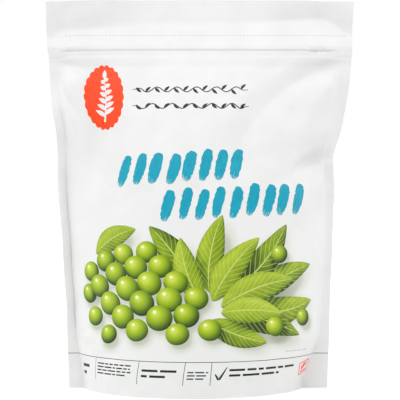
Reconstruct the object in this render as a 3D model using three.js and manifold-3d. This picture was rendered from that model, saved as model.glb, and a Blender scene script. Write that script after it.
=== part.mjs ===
// A filled stand-up pouch with a press-to-close zipper, as sold for frozen edamame beans.
//
// Units are millimetres. +Z is up, the front of the pouch faces -Y, and the origin is on the
// surface that the pouch stands on, under its centre.
//
// The pouch is made of five pieces of film and plastic that are heat-sealed to each other, and
// it holds loose beans:
//   front_panel, back_panel   the two printed walls, sealed to each other up both sides
//   bottom_gusset             a folded sheet, sealed between the walls along the foot; full, its
//                             middle lies flat on the floor and its fold climbs to both sides
//   zipper_rib, zipper_groove the two halves of the closure, pressed into each other
//   edamame_beans             the loose fill
// Sheets lie a SEAM apart where the real ones are sealed to each other.

import * as THREE from "three";
import { mergeVertices } from "three/addons/utils/BufferGeometryUtils.js";
import Module from "manifold-3d";

const wasm = await Module();
wasm.setup();

// ---- Driving dimensions -------------------------------------------------------------------

const WIDTH = 210; // across the flat pouch
const HEIGHT = 265; // standing, foot to top edge
const FILM = 0.4; // thickness of every sheet
const SEAM = 0.3; // space between two sheets that are sealed together
const SIDE_SEAL = 6; // width of the seal up each side
const FOOT_SEAL = 6; // height of the seal along the foot
const GUSSET_FOLD = 50; // height of the gusset's fold in the side seals
const ZIPPER_Z = 231.6; // height of the closure's centre line
const ZIPPER_STRIP = 12; // height of each zipper strip
const TEAR_Z = 242; // height of the tear notches
const NOTCH = 1.5; // depth of a tear notch

// Height against the left and right edges of the pouch, which come in as it fills.
const LEFT_EDGE = [
  [0, -89.3], [21, -88.8], [47, -90], [91, -92.8], [130, -95.7], [161, -96.9],
  [184, -97.8], [200, -101], [218, -103.5], [232, -104.7], [HEIGHT, -WIDTH / 2],
];
const RIGHT_EDGE = [
  [0, 87], [30, 88.5], [74, 90.6], [108, 92], [135, 92.6], [157, 91.6],
  [175, 95.4], [190, 98.6], [206, 100.5], [224, 103.2], [238, 104.7], [HEIGHT, WIDTH / 2],
];

// Height against how far each wall bellies out at its middle.
const BELLY = [
  [0, 43], [12, 45], [30, 46.2], [60, 45], [90, 41.8], [120, 37.6], [150, 32],
  [180, 24.5], [200, 17.5], [215, 10.5], [225, 4.6], [234, 0.8], [246, 1.2], [253, 0], [HEIGHT, 0],
];

// ---- Curves against height ----------------------------------------------------------------

function curve(points) {
  const heights = points.map((p) => p[0]);
  const values = points.map((p) => p[1]);
  const spline = new THREE.CubicInterpolant(heights, values, 1);
  return (z) => spline.evaluate(THREE.MathUtils.clamp(z, 0, HEIGHT))[0];
}

const leftEdge = curve(LEFT_EDGE);
const rightEdge = curve(RIGHT_EDGE);
const bellyAt = curve(BELLY);
const belly = (z) => Math.max(0, bellyAt(z));

const { clamp, lerp, smoothstep } = THREE.MathUtils;

// ---- The zipper's section -----------------------------------------------------------------

// Each half is a flange with its profile, drawn with depth (front to back) across and height up.
const STEM = 0.35; // half the rib's stem
const HEAD = 0.9; // half the rib's arrow head
const GROOVE = HEAD + SEAM; // half the groove inside
const LIP = 0.5; // thickness of the groove's walls
const ZIPPER_HALF = 1.375; // from the middle of the pouch to the back of either flange
const FLANGE_IN = ZIPPER_HALF - FILM; // to the inner face of either flange
const HEAD_DEPTH = 0.6;

const HEAD_TIP = FLANGE_IN - SEAM;
const HEAD_BACK = HEAD_TIP - HEAD_DEPTH;
const LIP_TIP = HEAD_BACK - SEAM; // hooks stop here, in front of the head's back

const RIB_SECTION = [
  [-ZIPPER_HALF, -ZIPPER_STRIP / 2], [-FLANGE_IN, -ZIPPER_STRIP / 2], [-FLANGE_IN, -STEM],
  [HEAD_BACK, -STEM], [HEAD_BACK, -HEAD], [HEAD_TIP, -STEM],
  [HEAD_TIP, STEM], [HEAD_BACK, HEAD], [HEAD_BACK, STEM],
  [-FLANGE_IN, STEM], [-FLANGE_IN, ZIPPER_STRIP / 2], [-ZIPPER_HALF, ZIPPER_STRIP / 2],
];

const HOOK = STEM + 0.35; // half the groove's mouth
const MOUTH = LIP_TIP - 0.4; // the hooks' outer ends
const GROOVE_SECTION = [
  [ZIPPER_HALF, ZIPPER_STRIP / 2], [FLANGE_IN, ZIPPER_STRIP / 2], [FLANGE_IN, GROOVE + LIP],
  [MOUTH, GROOVE + LIP], [MOUTH, HOOK], [LIP_TIP, HOOK], [LIP_TIP, GROOVE], [FLANGE_IN, GROOVE],
  [FLANGE_IN, -GROOVE], [LIP_TIP, -GROOVE], [LIP_TIP, -HOOK], [MOUTH, -HOOK],
  [MOUTH, -GROOVE - LIP], [FLANGE_IN, -GROOVE - LIP], [FLANGE_IN, -ZIPPER_STRIP / 2],
  [ZIPPER_HALF, -ZIPPER_STRIP / 2],
];

// In the side seals the closure is crushed flat; it is whole again CRUSH_RUN inside them.
const CRUSHED = 0.35;
const CRUSH_RUN = 7;
const SEAL_LINE = WIDTH / 2 - SIDE_SEAL; // flat distance from the middle to a side seal
const crush = (across) =>
  lerp(1, CRUSHED, clamp((Math.abs(across) - SEAL_LINE + CRUSH_RUN) / CRUSH_RUN, 0, 1));

// ---- The walls ----------------------------------------------------------------------------

// Distances past the edge of what lies between the walls, over which they close on each other.
const CLOSING = [1, 7];
const GUSSET_NEAR = 4 * SIDE_SEAL; // the gusset lies against the walls this close to a side seal
const FLAT = 0.05; // a wall that bellies out less than this is flat

// Distance from the middle of the pouch to a wall's inner face where nothing bellies it out.
function bedding(across, z) {
  const bare = SEAM / 2;
  const overGusset = SEAM / 2 + FILM + SEAM;
  const overZipper = ZIPPER_HALF * crush(across) + SEAM;
  const nearSeal = smoothstep(Math.abs(across), SEAL_LINE - GUSSET_NEAR, SEAL_LINE);
  const gussetShare = nearSeal * (1 - smoothstep(z - GUSSET_FOLD, ...CLOSING));
  const fromZipper = Math.abs(z - ZIPPER_Z) - ZIPPER_STRIP / 2;
  const zipperShare = 1 - smoothstep(fromZipper, ...CLOSING);
  return Math.max(bare, lerp(bare, overGusset, gussetShare), lerp(bare, overZipper, zipperShare));
}

// The middle of a wall's film, at a flat distance across from the centre line and a height.
// side is -1 for the front wall and 1 for the back one.
function wallPoint(across, z, side) {
  const left = leftEdge(z);
  const right = rightEdge(z);
  const rest = side * (bedding(across, z) + FILM / 2);
  if (Math.abs(across) >= SEAL_LINE) {
    const fromEdge = WIDTH / 2 - Math.abs(across);
    const x = across < 0 ? left + fromEdge : right - fromEdge;
    return new THREE.Vector3(x, rest, z);
  }
  const halfChord = (right - left) / 2 - SIDE_SEAL;
  const middle = (right + left) / 2;
  const depth = belly(z);
  const share = across / SEAL_LINE;
  if (depth < FLAT) return new THREE.Vector3(middle + share * halfChord, rest, z);
  const radius = (halfChord ** 2 + depth ** 2) / (2 * depth);
  const angle = Math.asin(halfChord / radius);
  const out = radius * (Math.cos(share * angle) - Math.cos(angle));
  return new THREE.Vector3(middle + radius * Math.sin(share * angle), rest + side * out, z);
}

// The unit normal of surface(a, b). b is a length, as a is, unless unitB says how long it is.
const NORMAL_STEP = 0.2;

function normalOf(surface, a, b, unitB = 1) {
  const stepB = NORMAL_STEP / unitB;
  const da = surface(a + NORMAL_STEP, b).sub(surface(a - NORMAL_STEP, b));
  const db = surface(a, b + stepB).sub(surface(a, b - stepB));
  return da.cross(db).normalize();
}

// A box splits its two broad faces along opposite diagonals. In a thin, twisted sheet those would
// cross, so the cells of the second face are split the other way.
const SECOND_FACE = 5; // the box's group for its face at -Z

function matchDiagonals(geometry) {
  const corners = geometry.index.array;
  const { start, count } = geometry.groups[SECOND_FACE];
  for (let i = start; i < start + count; i += 6) {
    const [p, q, s, , r] = corners.slice(i, i + 6);
    corners.set([p, q, r, p, r, s], i);
  }
}

// A closed sheet of FILM thickness through surface(a, b), on a grid of the stations given.
// Its two faces lie half a thickness to either side, and an edge on the floor is cut level.
const LEVEL = 1e-3; // anything lower than this is on the floor

function sheet(stationsA, stationsB, surface, unitB) {
  const countA = stationsA.length - 1;
  const countB = stationsB.length - 1;
  const geometry = new THREE.BoxGeometry(countA, countB, 1, countA, countB, 1);
  matchDiagonals(geometry);
  const position = geometry.attributes.position;
  for (let i = 0; i < position.count; i++) {
    const a = stationsA[Math.round(position.getX(i) + countA / 2)];
    const b = stationsB[Math.round(position.getY(i) + countB / 2)];
    const face = Math.sign(position.getZ(i));
    const middle = surface(a, b);
    const point = middle.clone().addScaledVector(normalOf(surface, a, b, unitB), (face * FILM) / 2);
    const onFloor = middle.z === 0 || point.z < LEVEL;
    position.setXYZ(i, point.x, point.y, onFloor ? 0 : point.z);
  }
  return geometry;
}

function spread(from, to, count) {
  return Array.from({ length: count + 1 }, (_, i) => lerp(from, to, i / count));
}

const HALF = WIDTH / 2;
const ACROSS = [
  -HALF, -HALF + SIDE_SEAL / 2, ...spread(-SEAL_LINE, -SEAL_LINE + CRUSH_RUN, 2),
  ...spread(-SEAL_LINE + CRUSH_RUN, SEAL_LINE - CRUSH_RUN, 22).slice(1, -1),
  ...spread(SEAL_LINE - CRUSH_RUN, SEAL_LINE, 2), HALF - SIDE_SEAL / 2, HALF,
];
const BESIDE_ZIPPER = ZIPPER_STRIP / 2 + CLOSING[0];
const UP = [
  0, FOOT_SEAL / 2, FOOT_SEAL, 12, 20, ...spread(29, GUSSET_FOLD + CLOSING[0], 3),
  GUSSET_FOLD + CLOSING[1], ...spread(68, 208, 13), 216, 220, ZIPPER_Z - BESIDE_ZIPPER,
  ZIPPER_Z - 2, ZIPPER_Z, ZIPPER_Z + 2, ZIPPER_Z + BESIDE_ZIPPER, TEAR_Z, 247, 253, HEIGHT,
];

// ---- Tear notches -------------------------------------------------------------------------

// manifold-3d works on closed meshes whose shared vertices are merged.
function toSolid(geometry) {
  const bare = geometry.clone();
  bare.deleteAttribute("normal");
  bare.deleteAttribute("uv");
  const merged = mergeVertices(bare, 1e-4);
  return new wasm.Manifold(
    new wasm.Mesh({
      numProp: 3,
      vertProperties: merged.attributes.position.array,
      triVerts: new Uint32Array(merged.index.array),
    }),
  );
}

function toGeometry(solid) {
  const mesh = solid.getMesh();
  const geometry = new THREE.BufferGeometry();
  geometry.setAttribute("position", new THREE.BufferAttribute(mesh.vertProperties, 3));
  geometry.setIndex(new THREE.BufferAttribute(mesh.triVerts, 1));
  geometry.computeVertexNormals();
  return geometry;
}

const CUTTER_DEPTH = 12; // more than both walls together

// A V-shaped cutter whose point reaches NOTCH into the seal on the side given.
function notchCutter(side) {
  const edge = side < 0 ? leftEdge(TEAR_Z) : rightEdge(TEAR_Z);
  const tip = new THREE.Shape()
    .moveTo(edge - side * NOTCH, TEAR_Z)
    .lineTo(edge + side * NOTCH, TEAR_Z - 2 * NOTCH)
    .lineTo(edge + side * NOTCH, TEAR_Z + 2 * NOTCH);
  const cutter = new THREE.ExtrudeGeometry(tip, { depth: CUTTER_DEPTH, bevelEnabled: false });
  cutter.rotateX(Math.PI / 2).translate(0, CUTTER_DEPTH / 2, 0);
  return toSolid(cutter);
}

function wall(side) {
  const film = sheet(ACROSS, UP, (across, z) => wallPoint(side < 0 ? across : -across, z, side));
  return toGeometry(toSolid(film).subtract(notchCutter(-1)).subtract(notchCutter(1)));
}

// ---- The gusset ---------------------------------------------------------------------------

const DROP_RUN = 8; // how far in from the foot seal the gusset is back down on the floor
const OPEN_RIM = [8, 24]; // half depths of the base between which the gusset opens flat
const FLAT_HALF = 25; // half the length of the gusset's fold that lies flat on the floor
const FOLD_RISE = 1.5; // how sharply the fold climbs beyond that
const SADDLE = 1.6; // how sharply the gusset climbs to its fold
const FOLD_TURN = 0.99; // the share of a leaf where it starts to turn over at the fold

function foldHeight(across) {
  const climb = clamp((Math.abs(across) - FLAT_HALF) / (SEAL_LINE - FLAT_HALF), 0, 1);
  return (GUSSET_FOLD - FILM) * climb ** FOLD_RISE;
}

// Inside the front wall, where the middle of the gusset's film is sealed to it.
const frontWall = (across, z) => wallPoint(across, z, -1);
const lining = (across, z) =>
  frontWall(across, z).addScaledVector(normalOf(frontWall, across, z), -FILM - SEAM).setZ(z);

// Height of the middle of the gusset's film, share of the way from the foot seal to the fold. It
// leaves the seal level and drops to the floor, but near the side seals it climbs straight away.
function gussetHeight(across, share) {
  const rim = Math.abs(lining(across, FOOT_SEAL).y);
  const fold = foldHeight(across);
  const seal = FOOT_SEAL - FILM / 2;
  const drop = smoothstep(rim * share, 0, Math.min(DROP_RUN, rim / 2));
  const straight = lerp(seal, fold, share);
  const saddle = fold * share ** SADDLE + seal * (1 - drop);
  return FILM / 2 + lerp(straight, saddle, smoothstep(rim, ...OPEN_RIM));
}

// along runs from -1 at the front foot, over the fold at 0, to 1 at the back foot.
function gussetPoint(across, along) {
  const fromFoot = 1 - Math.abs(along);
  const side = along < 0 ? -1 : 1;
  const sealed = FOOT_SEAL / GUSSET_FOLD;
  if (fromFoot <= sealed) {
    const foot = lining(across, Math.max(0, fromFoot) * GUSSET_FOLD);
    return new THREE.Vector3(foot.x, -side * foot.y, foot.z);
  }
  const share = (fromFoot - sealed) / (1 - sealed);
  const z = gussetHeight(across, share);
  const { x, y } = lining(across, z);
  const leaf = (SEAM + FILM) / 2;
  const turning = share > FOLD_TURN;
  const depth = turning
    ? (leaf * (1 - share)) / (1 - FOLD_TURN)
    : lerp(Math.abs(y), leaf, share / FOLD_TURN);
  return new THREE.Vector3(x, side * depth, z);
}

const LEAF = [
  0, FOOT_SEAL / GUSSET_FOLD / 2, FOOT_SEAL / GUSSET_FOLD, 0.145, 0.175, 0.21, 0.26, 0.34,
  ...spread(0.46, 0.9, 4), 0.97, 0.991,
];
const ALONG = [...LEAF.map((share) => share - 1), 0, ...LEAF.map((share) => 1 - share).reverse()];

// ---- The closure --------------------------------------------------------------------------

// Flat distances across, as on the walls, so that the two stay parallel.
const ZIPPER_END = HALF - 1.5;
const ZIPPER_STATIONS = [
  -ZIPPER_END, -SEAL_LINE, ...spread(-SEAL_LINE + CRUSH_RUN, SEAL_LINE - CRUSH_RUN, 8),
  SEAL_LINE, ZIPPER_END,
];

function zipperHalf(section) {
  const shape = new THREE.Shape(section.map(([depth, height]) => new THREE.Vector2(depth, height)));
  const steps = ZIPPER_STATIONS.length - 1;
  const strip = new THREE.ExtrudeGeometry(shape, { depth: steps, steps, bevelEnabled: false });
  const position = strip.attributes.position;
  for (let i = 0; i < position.count; i++) {
    const across = ZIPPER_STATIONS[Math.round(position.getZ(i))];
    const x = wallPoint(across, ZIPPER_Z, 1).x;
    position.setXYZ(i, x, position.getX(i) * crush(across), ZIPPER_Z + position.getY(i));
  }
  return strip;
}

// ---- The beans ----------------------------------------------------------------------------

const HEAP_TOP = 110; // height of the heap where it meets the walls
const HEAP_DOME = 6; // how much higher it is in the middle
const HEAP_REACH = 74; // half its length
const HEAP_END_TURN = 0.4; // sine of the angle over which each of its ends is rounded
const HEAP_END_ROUND = 0.6; // 1 would make the ends pointed, and 0 square
const HEAP_FOOT_ROUND = 10; // its rounding under the walls
const HEAP_TOP_ROUND = 14;
const HEAP_CLEAR = 3.2; // between the heap and the film
const BEAN_LONG = 15;
const BEAN_WIDE = 12;
const BEAN_PROUD = 2.2; // how far each bean stands out of the heap
const BEANS_FADE = 0.5; // share of the heap's length inside which the top's beans fade out

const HEAP_FLOOR = FILM + HEAP_CLEAR;
const HEAP_CREST = HEAP_TOP + HEAP_DOME;
const HEAP_ROWS = 36;
const HEAP_COLUMNS = 66;

// Half the heap's outline, from its top to underneath: distance out from the middle, and height.
const heapOutline = new THREE.Path()
  .moveTo(0, HEAP_CREST)
  .quadraticCurveTo(HEAP_REACH / 2, HEAP_CREST, HEAP_REACH - HEAP_TOP_ROUND, HEAP_TOP)
  .absarc(HEAP_REACH - HEAP_TOP_ROUND, HEAP_TOP - HEAP_TOP_ROUND, HEAP_TOP_ROUND, Math.PI / 2, 0, true)
  .lineTo(HEAP_REACH, HEAP_FLOOR + HEAP_FOOT_ROUND)
  .absarc(HEAP_REACH - HEAP_FOOT_ROUND, HEAP_FLOOR + HEAP_FOOT_ROUND, HEAP_FOOT_ROUND, 0, -Math.PI / 2, true)
  .lineTo(0, HEAP_FLOOR)
  .getSpacedPoints(HEAP_ROWS);

// The walls' arc at a height: its middle, half its chord, its radius and its depth.
function arcAt(z) {
  const halfChord = (rightEdge(z) - leftEdge(z)) / 2 - SIDE_SEAL;
  const depth = belly(z);
  return {
    middle: (rightEdge(z) + leftEdge(z)) / 2,
    halfChord,
    depth,
    radius: (halfChord ** 2 + depth ** 2) / (2 * depth),
  };
}

// How high the beans start over the gusset at a place on the floor plan.
function overGusset(x, y) {
  const { middle, halfChord, radius } = arcAt(FOOT_SEAL);
  const share = Math.asin(clamp((x - middle) / radius, -1, 1)) / Math.asin(halfChord / radius);
  const across = clamp(share, -1, 1) * SEAL_LINE;
  const fromRim = 1 - Math.abs(y / lining(across, FOOT_SEAL).y);
  return gussetHeight(across, clamp(fromRim, 0, 1)) + FILM / 2 + HEAP_CLEAR;
}

// Beans lie side by side in staggered rows: 0 between them, up to 1 at the middle of each.
function beanRelief(round, z, girth) {
  const row = Math.round(z / BEAN_WIDE);
  const around = (round / (2 * Math.PI)) * Math.round(girth / BEAN_LONG);
  const alongBean = Math.cos(Math.PI * (around + row / 2));
  const overBean = Math.cos((Math.PI * z) / BEAN_WIDE);
  return Math.sqrt(Math.abs(alongBean * overBean));
}

// Where the heap's outline, drawn size of its full length, stands at a height and an angle round Z.
function heapPlace(round, size, z, dent) {
  const { middle, halfChord, depth, radius } = arcAt(z);
  const reach = Math.cos(round) * HEAP_REACH;
  const bulge = Math.sqrt(radius ** 2 - reach ** 2) - (radius - depth) - HEAP_CLEAR;
  const ends = Math.min(1, Math.abs(Math.sin(round)) / HEAP_END_TURN) ** HEAP_END_ROUND;
  return {
    x: middle + size * reach * (1 - dent / halfChord),
    y: Math.sign(Math.sin(round)) * ends * size * Math.max(0, bulge - dent),
  };
}

// round is the angle about Z, and row counts down the outline. The outline is pressed up to stand
// on the gusset wherever that is higher than the outline's floor.
function heapPoint(round, row) {
  const { x: out, y: height } = heapOutline[row];
  const size = out / HEAP_REACH;
  const girth = 2 * (rightEdge(height) - leftEdge(height));
  const proud = BEAN_PROUD * Math.min(1, size / BEANS_FADE);
  const dent = proud * (1 - beanRelief(round, height + out / 2, girth));
  const under = heapPlace(round, size, height, dent);
  const pressed = clamp((HEAP_CREST - height) / (HEAP_CREST - HEAP_FLOOR), 0, 1);
  const z = height + (overGusset(under.x, under.y) - HEAP_FLOOR) * pressed;
  const { x, y } = heapPlace(round, size, z, dent);
  return new THREE.Vector3(x, y, Math.max(z - dent, overGusset(x, y)));
}

function beans() {
  const heap = new THREE.SphereGeometry(1, HEAP_COLUMNS, HEAP_ROWS);
  const position = heap.attributes.position;
  for (let i = 0; i < position.count; i++) {
    const column = i % (HEAP_COLUMNS + 1);
    const row = Math.floor(i / (HEAP_COLUMNS + 1));
    const point = heapPoint(((column % HEAP_COLUMNS) / HEAP_COLUMNS) * 2 * Math.PI, row);
    position.setXYZ(i, point.x, point.y, point.z);
  }
  return heap;
}

// ---- The pouch ----------------------------------------------------------------------------

const FILM_WHITE = { color: 0xf1f2f1, roughness: 0.42, metalness: 0 };
const GUSSET_WHITE = { color: 0xeceded, roughness: 0.5, metalness: 0 };
const ZIPPER_CLEAR = { color: 0xe6ebea, roughness: 0.35, metalness: 0 };
const BEAN_GREEN = { color: 0x8db52c, roughness: 0.45, metalness: 0 };

const pouch = new THREE.Group();

function piece(name, geometry, finish) {
  const mesh = new THREE.Mesh(geometry, new THREE.MeshStandardMaterial(finish));
  mesh.name = name;
  pouch.add(mesh);
}

piece("front_panel", wall(-1), FILM_WHITE);
piece("back_panel", wall(1), FILM_WHITE);
piece("bottom_gusset", sheet(ACROSS, ALONG, gussetPoint, GUSSET_FOLD), GUSSET_WHITE);
piece("zipper_rib", zipperHalf(RIB_SECTION), ZIPPER_CLEAR);
piece("zipper_groove", zipperHalf(GROOVE_SECTION), ZIPPER_CLEAR);
piece("edamame_beans", beans(), BEAN_GREEN);

export default pouch;
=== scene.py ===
# The looks of a filled stand-up pouch: two printed film walls, a folded bottom gusset, a press-to-close
# zipper and the loose beans inside, on a pale studio floor.
#
# Sizes are in millimetres, as on the pouch's own drawing, and MM turns them to metres where a mesh is
# made. A place on a wall is given on the flat film: across, from the wall's middle line to the right
# of someone who faces it, and height above the foot of the standing pouch.

import math

import bpy
import numpy as np
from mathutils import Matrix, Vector, kdtree
from mathutils.geometry import delaunay_2d_cdt


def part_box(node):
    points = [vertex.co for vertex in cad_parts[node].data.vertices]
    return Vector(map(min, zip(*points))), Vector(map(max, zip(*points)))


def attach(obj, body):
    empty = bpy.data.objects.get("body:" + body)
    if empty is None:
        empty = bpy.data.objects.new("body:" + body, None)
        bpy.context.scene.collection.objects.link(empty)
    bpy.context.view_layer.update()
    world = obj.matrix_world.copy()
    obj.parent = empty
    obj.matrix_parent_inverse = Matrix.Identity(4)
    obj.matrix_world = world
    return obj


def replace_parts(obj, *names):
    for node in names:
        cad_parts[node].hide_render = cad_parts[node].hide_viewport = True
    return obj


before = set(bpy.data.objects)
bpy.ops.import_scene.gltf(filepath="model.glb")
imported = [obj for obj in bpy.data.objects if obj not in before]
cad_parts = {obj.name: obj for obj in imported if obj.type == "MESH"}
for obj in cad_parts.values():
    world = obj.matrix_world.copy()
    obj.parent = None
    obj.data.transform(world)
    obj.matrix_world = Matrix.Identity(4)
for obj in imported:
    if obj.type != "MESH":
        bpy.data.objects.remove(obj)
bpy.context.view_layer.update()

# ---- The two walls: form ------------------------------------------------------------------------
# Each wall is one rectangle of laminate film. The two are heat-sealed to each other up both sides and
# along the top, so the beans can only belly them out between the seals, and the sides come in as they
# do. The unfilled header above the zipper stays flat, and leans back a little.

MM = 0.001
FRONT, BACK = -1, 1  # the side of the pouch that a wall is on, along Y
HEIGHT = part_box("front_panel")[1].z / MM
WIDTH = 210.0
SIDE_SEAL = 6.0
SEAL_LINE = WIDTH / 2 - SIDE_SEAL
FOOT_SEAL = 6.0
GUSSET_FOLD = 50.0  # height of the gusset's fold in the side seals
PLY = 0.3  # drawn over twice as thick as real film, so that its cut edge shows
FUSED = 0.02  # what is left between two films that are sealed together
ZIPPER_Z = 231.6
ZIPPER_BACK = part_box("zipper_groove")[1].y / MM  # from the middle of the pouch to the strip's back
ZIPPER_HALF = 6.0  # half the height of a zipper strip
CRUSHED, CRUSH_RUN = 0.35, 7.0  # the zipper's thickness left in the side seals, and the run up to it


def curve(*points):
    """A smooth curve through (place, value) points, and level beyond its ends."""
    x, v = np.array(points, float).T
    slope = np.empty_like(v)
    slope[1:-1] = (v[2:] - v[:-2]) / (x[2:] - x[:-2])
    slope[0] = (3 * (v[1] - v[0]) / (x[1] - x[0]) - slope[1]) / 2
    slope[-1] = (3 * (v[-1] - v[-2]) / (x[-1] - x[-2]) - slope[-2]) / 2

    def at(z):
        z = np.clip(z, x[0], x[-1])
        i = np.clip(np.searchsorted(x, z, side="right") - 1, 0, len(x) - 2)
        run = x[i + 1] - x[i]
        t = (z - x[i]) / run
        start, end = v[i] + t * run * slope[i], v[i + 1] - (1 - t) * run * slope[i + 1]
        turn = t * t * (3 - 2 * t)
        middle = v[i] * (1 - turn) + v[i + 1] * turn
        bend = t * (1 - t) * ((1 - t) * (start - v[i]) / np.maximum(t, 1e-9) - t * (v[i + 1] - end)
                              / np.maximum(1 - t, 1e-9))
        return middle + bend

    return at


# Where the filled pouch's two edges stand at each height, and how far its middle bellies out.
left_edge = curve((0, -89.6), (21, -90.6), (47, -91.3), (60, -91.6), (80, -93.4), (100, -94.2),
                  (122, -96.1), (136, -97.3), (149, -97.4), (161, -97), (176, -97.6), (192, -100.6),
                  (205, -102.3), (218, -103.2), (229, -104.2), (236, -105.1), (246, -105.7),
                  (HEIGHT, -106))
right_edge = curve((0, 87), (30, 88.5), (74, 90), (108, 91.4), (135, 92.4), (146, 91.8), (158, 91.4),
                   (166, 93.2), (177, 96.8), (190, 99.3), (205, 101.9), (220, 103.6), (240, 104.9),
                   (HEIGHT, 105.8))
belly = curve((0, 44.4), (6, 44.5), (14, 44.9), (30, 45.2), (60, 44.4), (90, 42.5), (120, 39.2),
              (150, 33.8), (180, 25.8), (200, 18.2), (215, 10.8), (225, 4.7), (234, 0.8), (246, 1.2),
              (253, 0), (HEIGHT, 0))


def ease(x, start, end):
    """0 up to start, 1 from end on, and a smooth rise between them."""
    t = np.clip((x - start) / (end - start), 0, 1)
    return t * t * (3 - 2 * t)


def turned(x, start, rounding):
    """0 before start and x - start beyond it, with the corner between the two rounded."""
    t = np.clip((x - start) / (2 * rounding) + 0.5, 0, 1)
    return 2 * rounding * (t**3 - t**4 / 2) + np.maximum(x - start - rounding, 0)


# The side seals widen towards the foot, to close the corners of the base, and the base opens into a
# fuller oval than the walls above it.
CORNER_SEALS = (4.0, 11.5)  # how much wider, at the foot, on the left and on the right
CORNER_RUN = (2, 42)  # heights between which the extra width runs out
FOOT_ANGLE = math.radians(77)  # how far round an oval the walls go at the foot
FOOT_RUN = (4, 60)  # heights between which that fuller oval runs out
OFF_GUSSET = (0.4, 4.0)  # the walls close up between these heights above the gusset's fold
OFF_ZIPPER = (7.0, 2.5)  # they have closed up this far from a strip, in the middle and in the seals


def seal_line(x_flat, height):
    """Distance on the flat film from a wall's middle line to the inner edge of its side seal."""
    wider = np.where(x_flat < 0, CORNER_SEALS[0], CORNER_SEALS[1])
    return SEAL_LINE - wider * (1 - ease(height, *CORNER_RUN))


def crush(across):
    """What is left of the zipper's thickness, which the side seals have melted and pressed down."""
    return 1 - (1 - CRUSHED) * np.clip((abs(across) - SEAL_LINE + CRUSH_RUN) / CRUSH_RUN, 0, 1)


def stack(across, x_flat, height):
    """Distance from the pouch's middle to the middle of a wall's film, over what lies between them."""
    bare = (PLY + FUSED) / 2
    inner = seal_line(x_flat, height)
    near_seal = ease(abs(across), inner - 4 * SIDE_SEAL, inner)
    from_gusset = height - GUSSET_FOLD
    over_gusset = (PLY + FUSED) * near_seal * (1 - ease(from_gusset, *OFF_GUSSET))
    from_zipper = abs(height - ZIPPER_Z) - ZIPPER_HALF
    clear = OFF_ZIPPER[0] + (OFF_ZIPPER[1] - OFF_ZIPPER[0]) * near_seal
    over_zipper = ZIPPER_BACK * crush(across) + FUSED / 2
    over_zipper = over_zipper * (1 - ease(from_zipper, 1 - near_seal, clear))
    return bare + np.maximum(over_gusset, over_zipper)


# The header leans back above the zipper, up to a bend that rises to the right and drops at both ends.
header_bend = curve((-105, 239), (-101, 242), (-97, 245), (-92, 246.6), (-85, 247.2), (-40, 248.5),
                    (20, 251), (60, 253.8), (80, 255.2), (87, 254.2), (93, 250.5), (99, 246),
                    (105, 243))
HEADER_LEAN = math.tan(math.radians(25))
TOP_LEAN = math.tan(math.radians(13))  # what is left of the lean above the bend, in the middle
UPRIGHT = (25, 82)  # and how far out the film above the bend comes to stand upright
HEADER_FOOT = 234.2  # the lean starts in the closure's upper flanges, which bend with the film
LEAN_ROUND, BEND_ROUND = 1.5, 1.8  # rounding where the lean starts, and at the bend
BEND_ENDS = ((4.5, 84, 102), (1.5, 84, 100))  # how much rounder left and right, and between which places
CORNER_CURL = (1.2, 2.6)  # how far the top corners come forward again, left and right
CURL_RUN = (35, 80)  # how far out the corners start to curl, and are fully curled
CURL_RISE = (-1, 12)  # and how far above the bend
# The seals are longer than the way between their ends, so they wave to the front and back.
SEAL_WAVE = 2.0
WAVES = ((10.5, 0.6), (17.5, 0.4))  # height over which a wave turns by a radian, and its share
WAVE_PHASE = (0.6, 2.4)  # of the left seal and the right one
WAVED = (58, 82, 205, 224)  # heights between which the seals wave, with a run in and out
WAVE_START = 62  # how far out the film starts to move with the seals
# Both seals come forward over the first two of these heights, and go straight back over the others.
FORWARD_RUN = (140, 188, 194, 222)
FORWARD_ROUND = (6, 1.5)  # rounding at the two ends of the straight stretch
SEAL_FORWARD = (7.5, 4.0)  # left and right
FIN_ROLL = 0.9  # a turned seal is steepest at its inner edge
GROOVE_DEPTH, GROOVE_HALF = 0.45, 1.5  # of the crease where the left seal turns
GROOVE_TURN = (6, 20)  # degrees of turn over which that crease deepens
KINK_Z, KINK_DEPTH = 158.5, 2.6  # the right seal has buckled in a crease here
KINK_ACROSS = (74, 97)  # the crease starts between these
KINK_HALF = (9, 6)  # half width of the crease, above and below
# Each seal has turned about its inner edge, forward by so many degrees at each height.
left_turn = curve((20, 0), (36, 8), (48, 24), (66, 27), (90, 25), (112, 27), (128, 28), (142, 16),
                  (160, 9), (174, 16), (186, 17), (197, 4), (206, 0))
right_turn = curve((14, 0), (30, 6), (46, -8), (80, -18), (130, -18), (146, -10), (156, 2), (170, -12),
                   (196, -14), (214, -4), (222, 0))


def fin_turn(x_flat, height):
    """The turn of the side seal on a place's side of the pouch."""
    return np.radians(np.where(x_flat < 0, left_turn(height), right_turn(height)))


def valley(gap, half_width, crisp):
    """1 along a crease and 0 beyond a half width from it, crisp being the round of its bottom."""
    shape = np.clip(1 - (np.sqrt(gap**2 + crisp**2) - crisp) / half_width, 0, 1)
    return shape * shape * (2 - shape)


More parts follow.
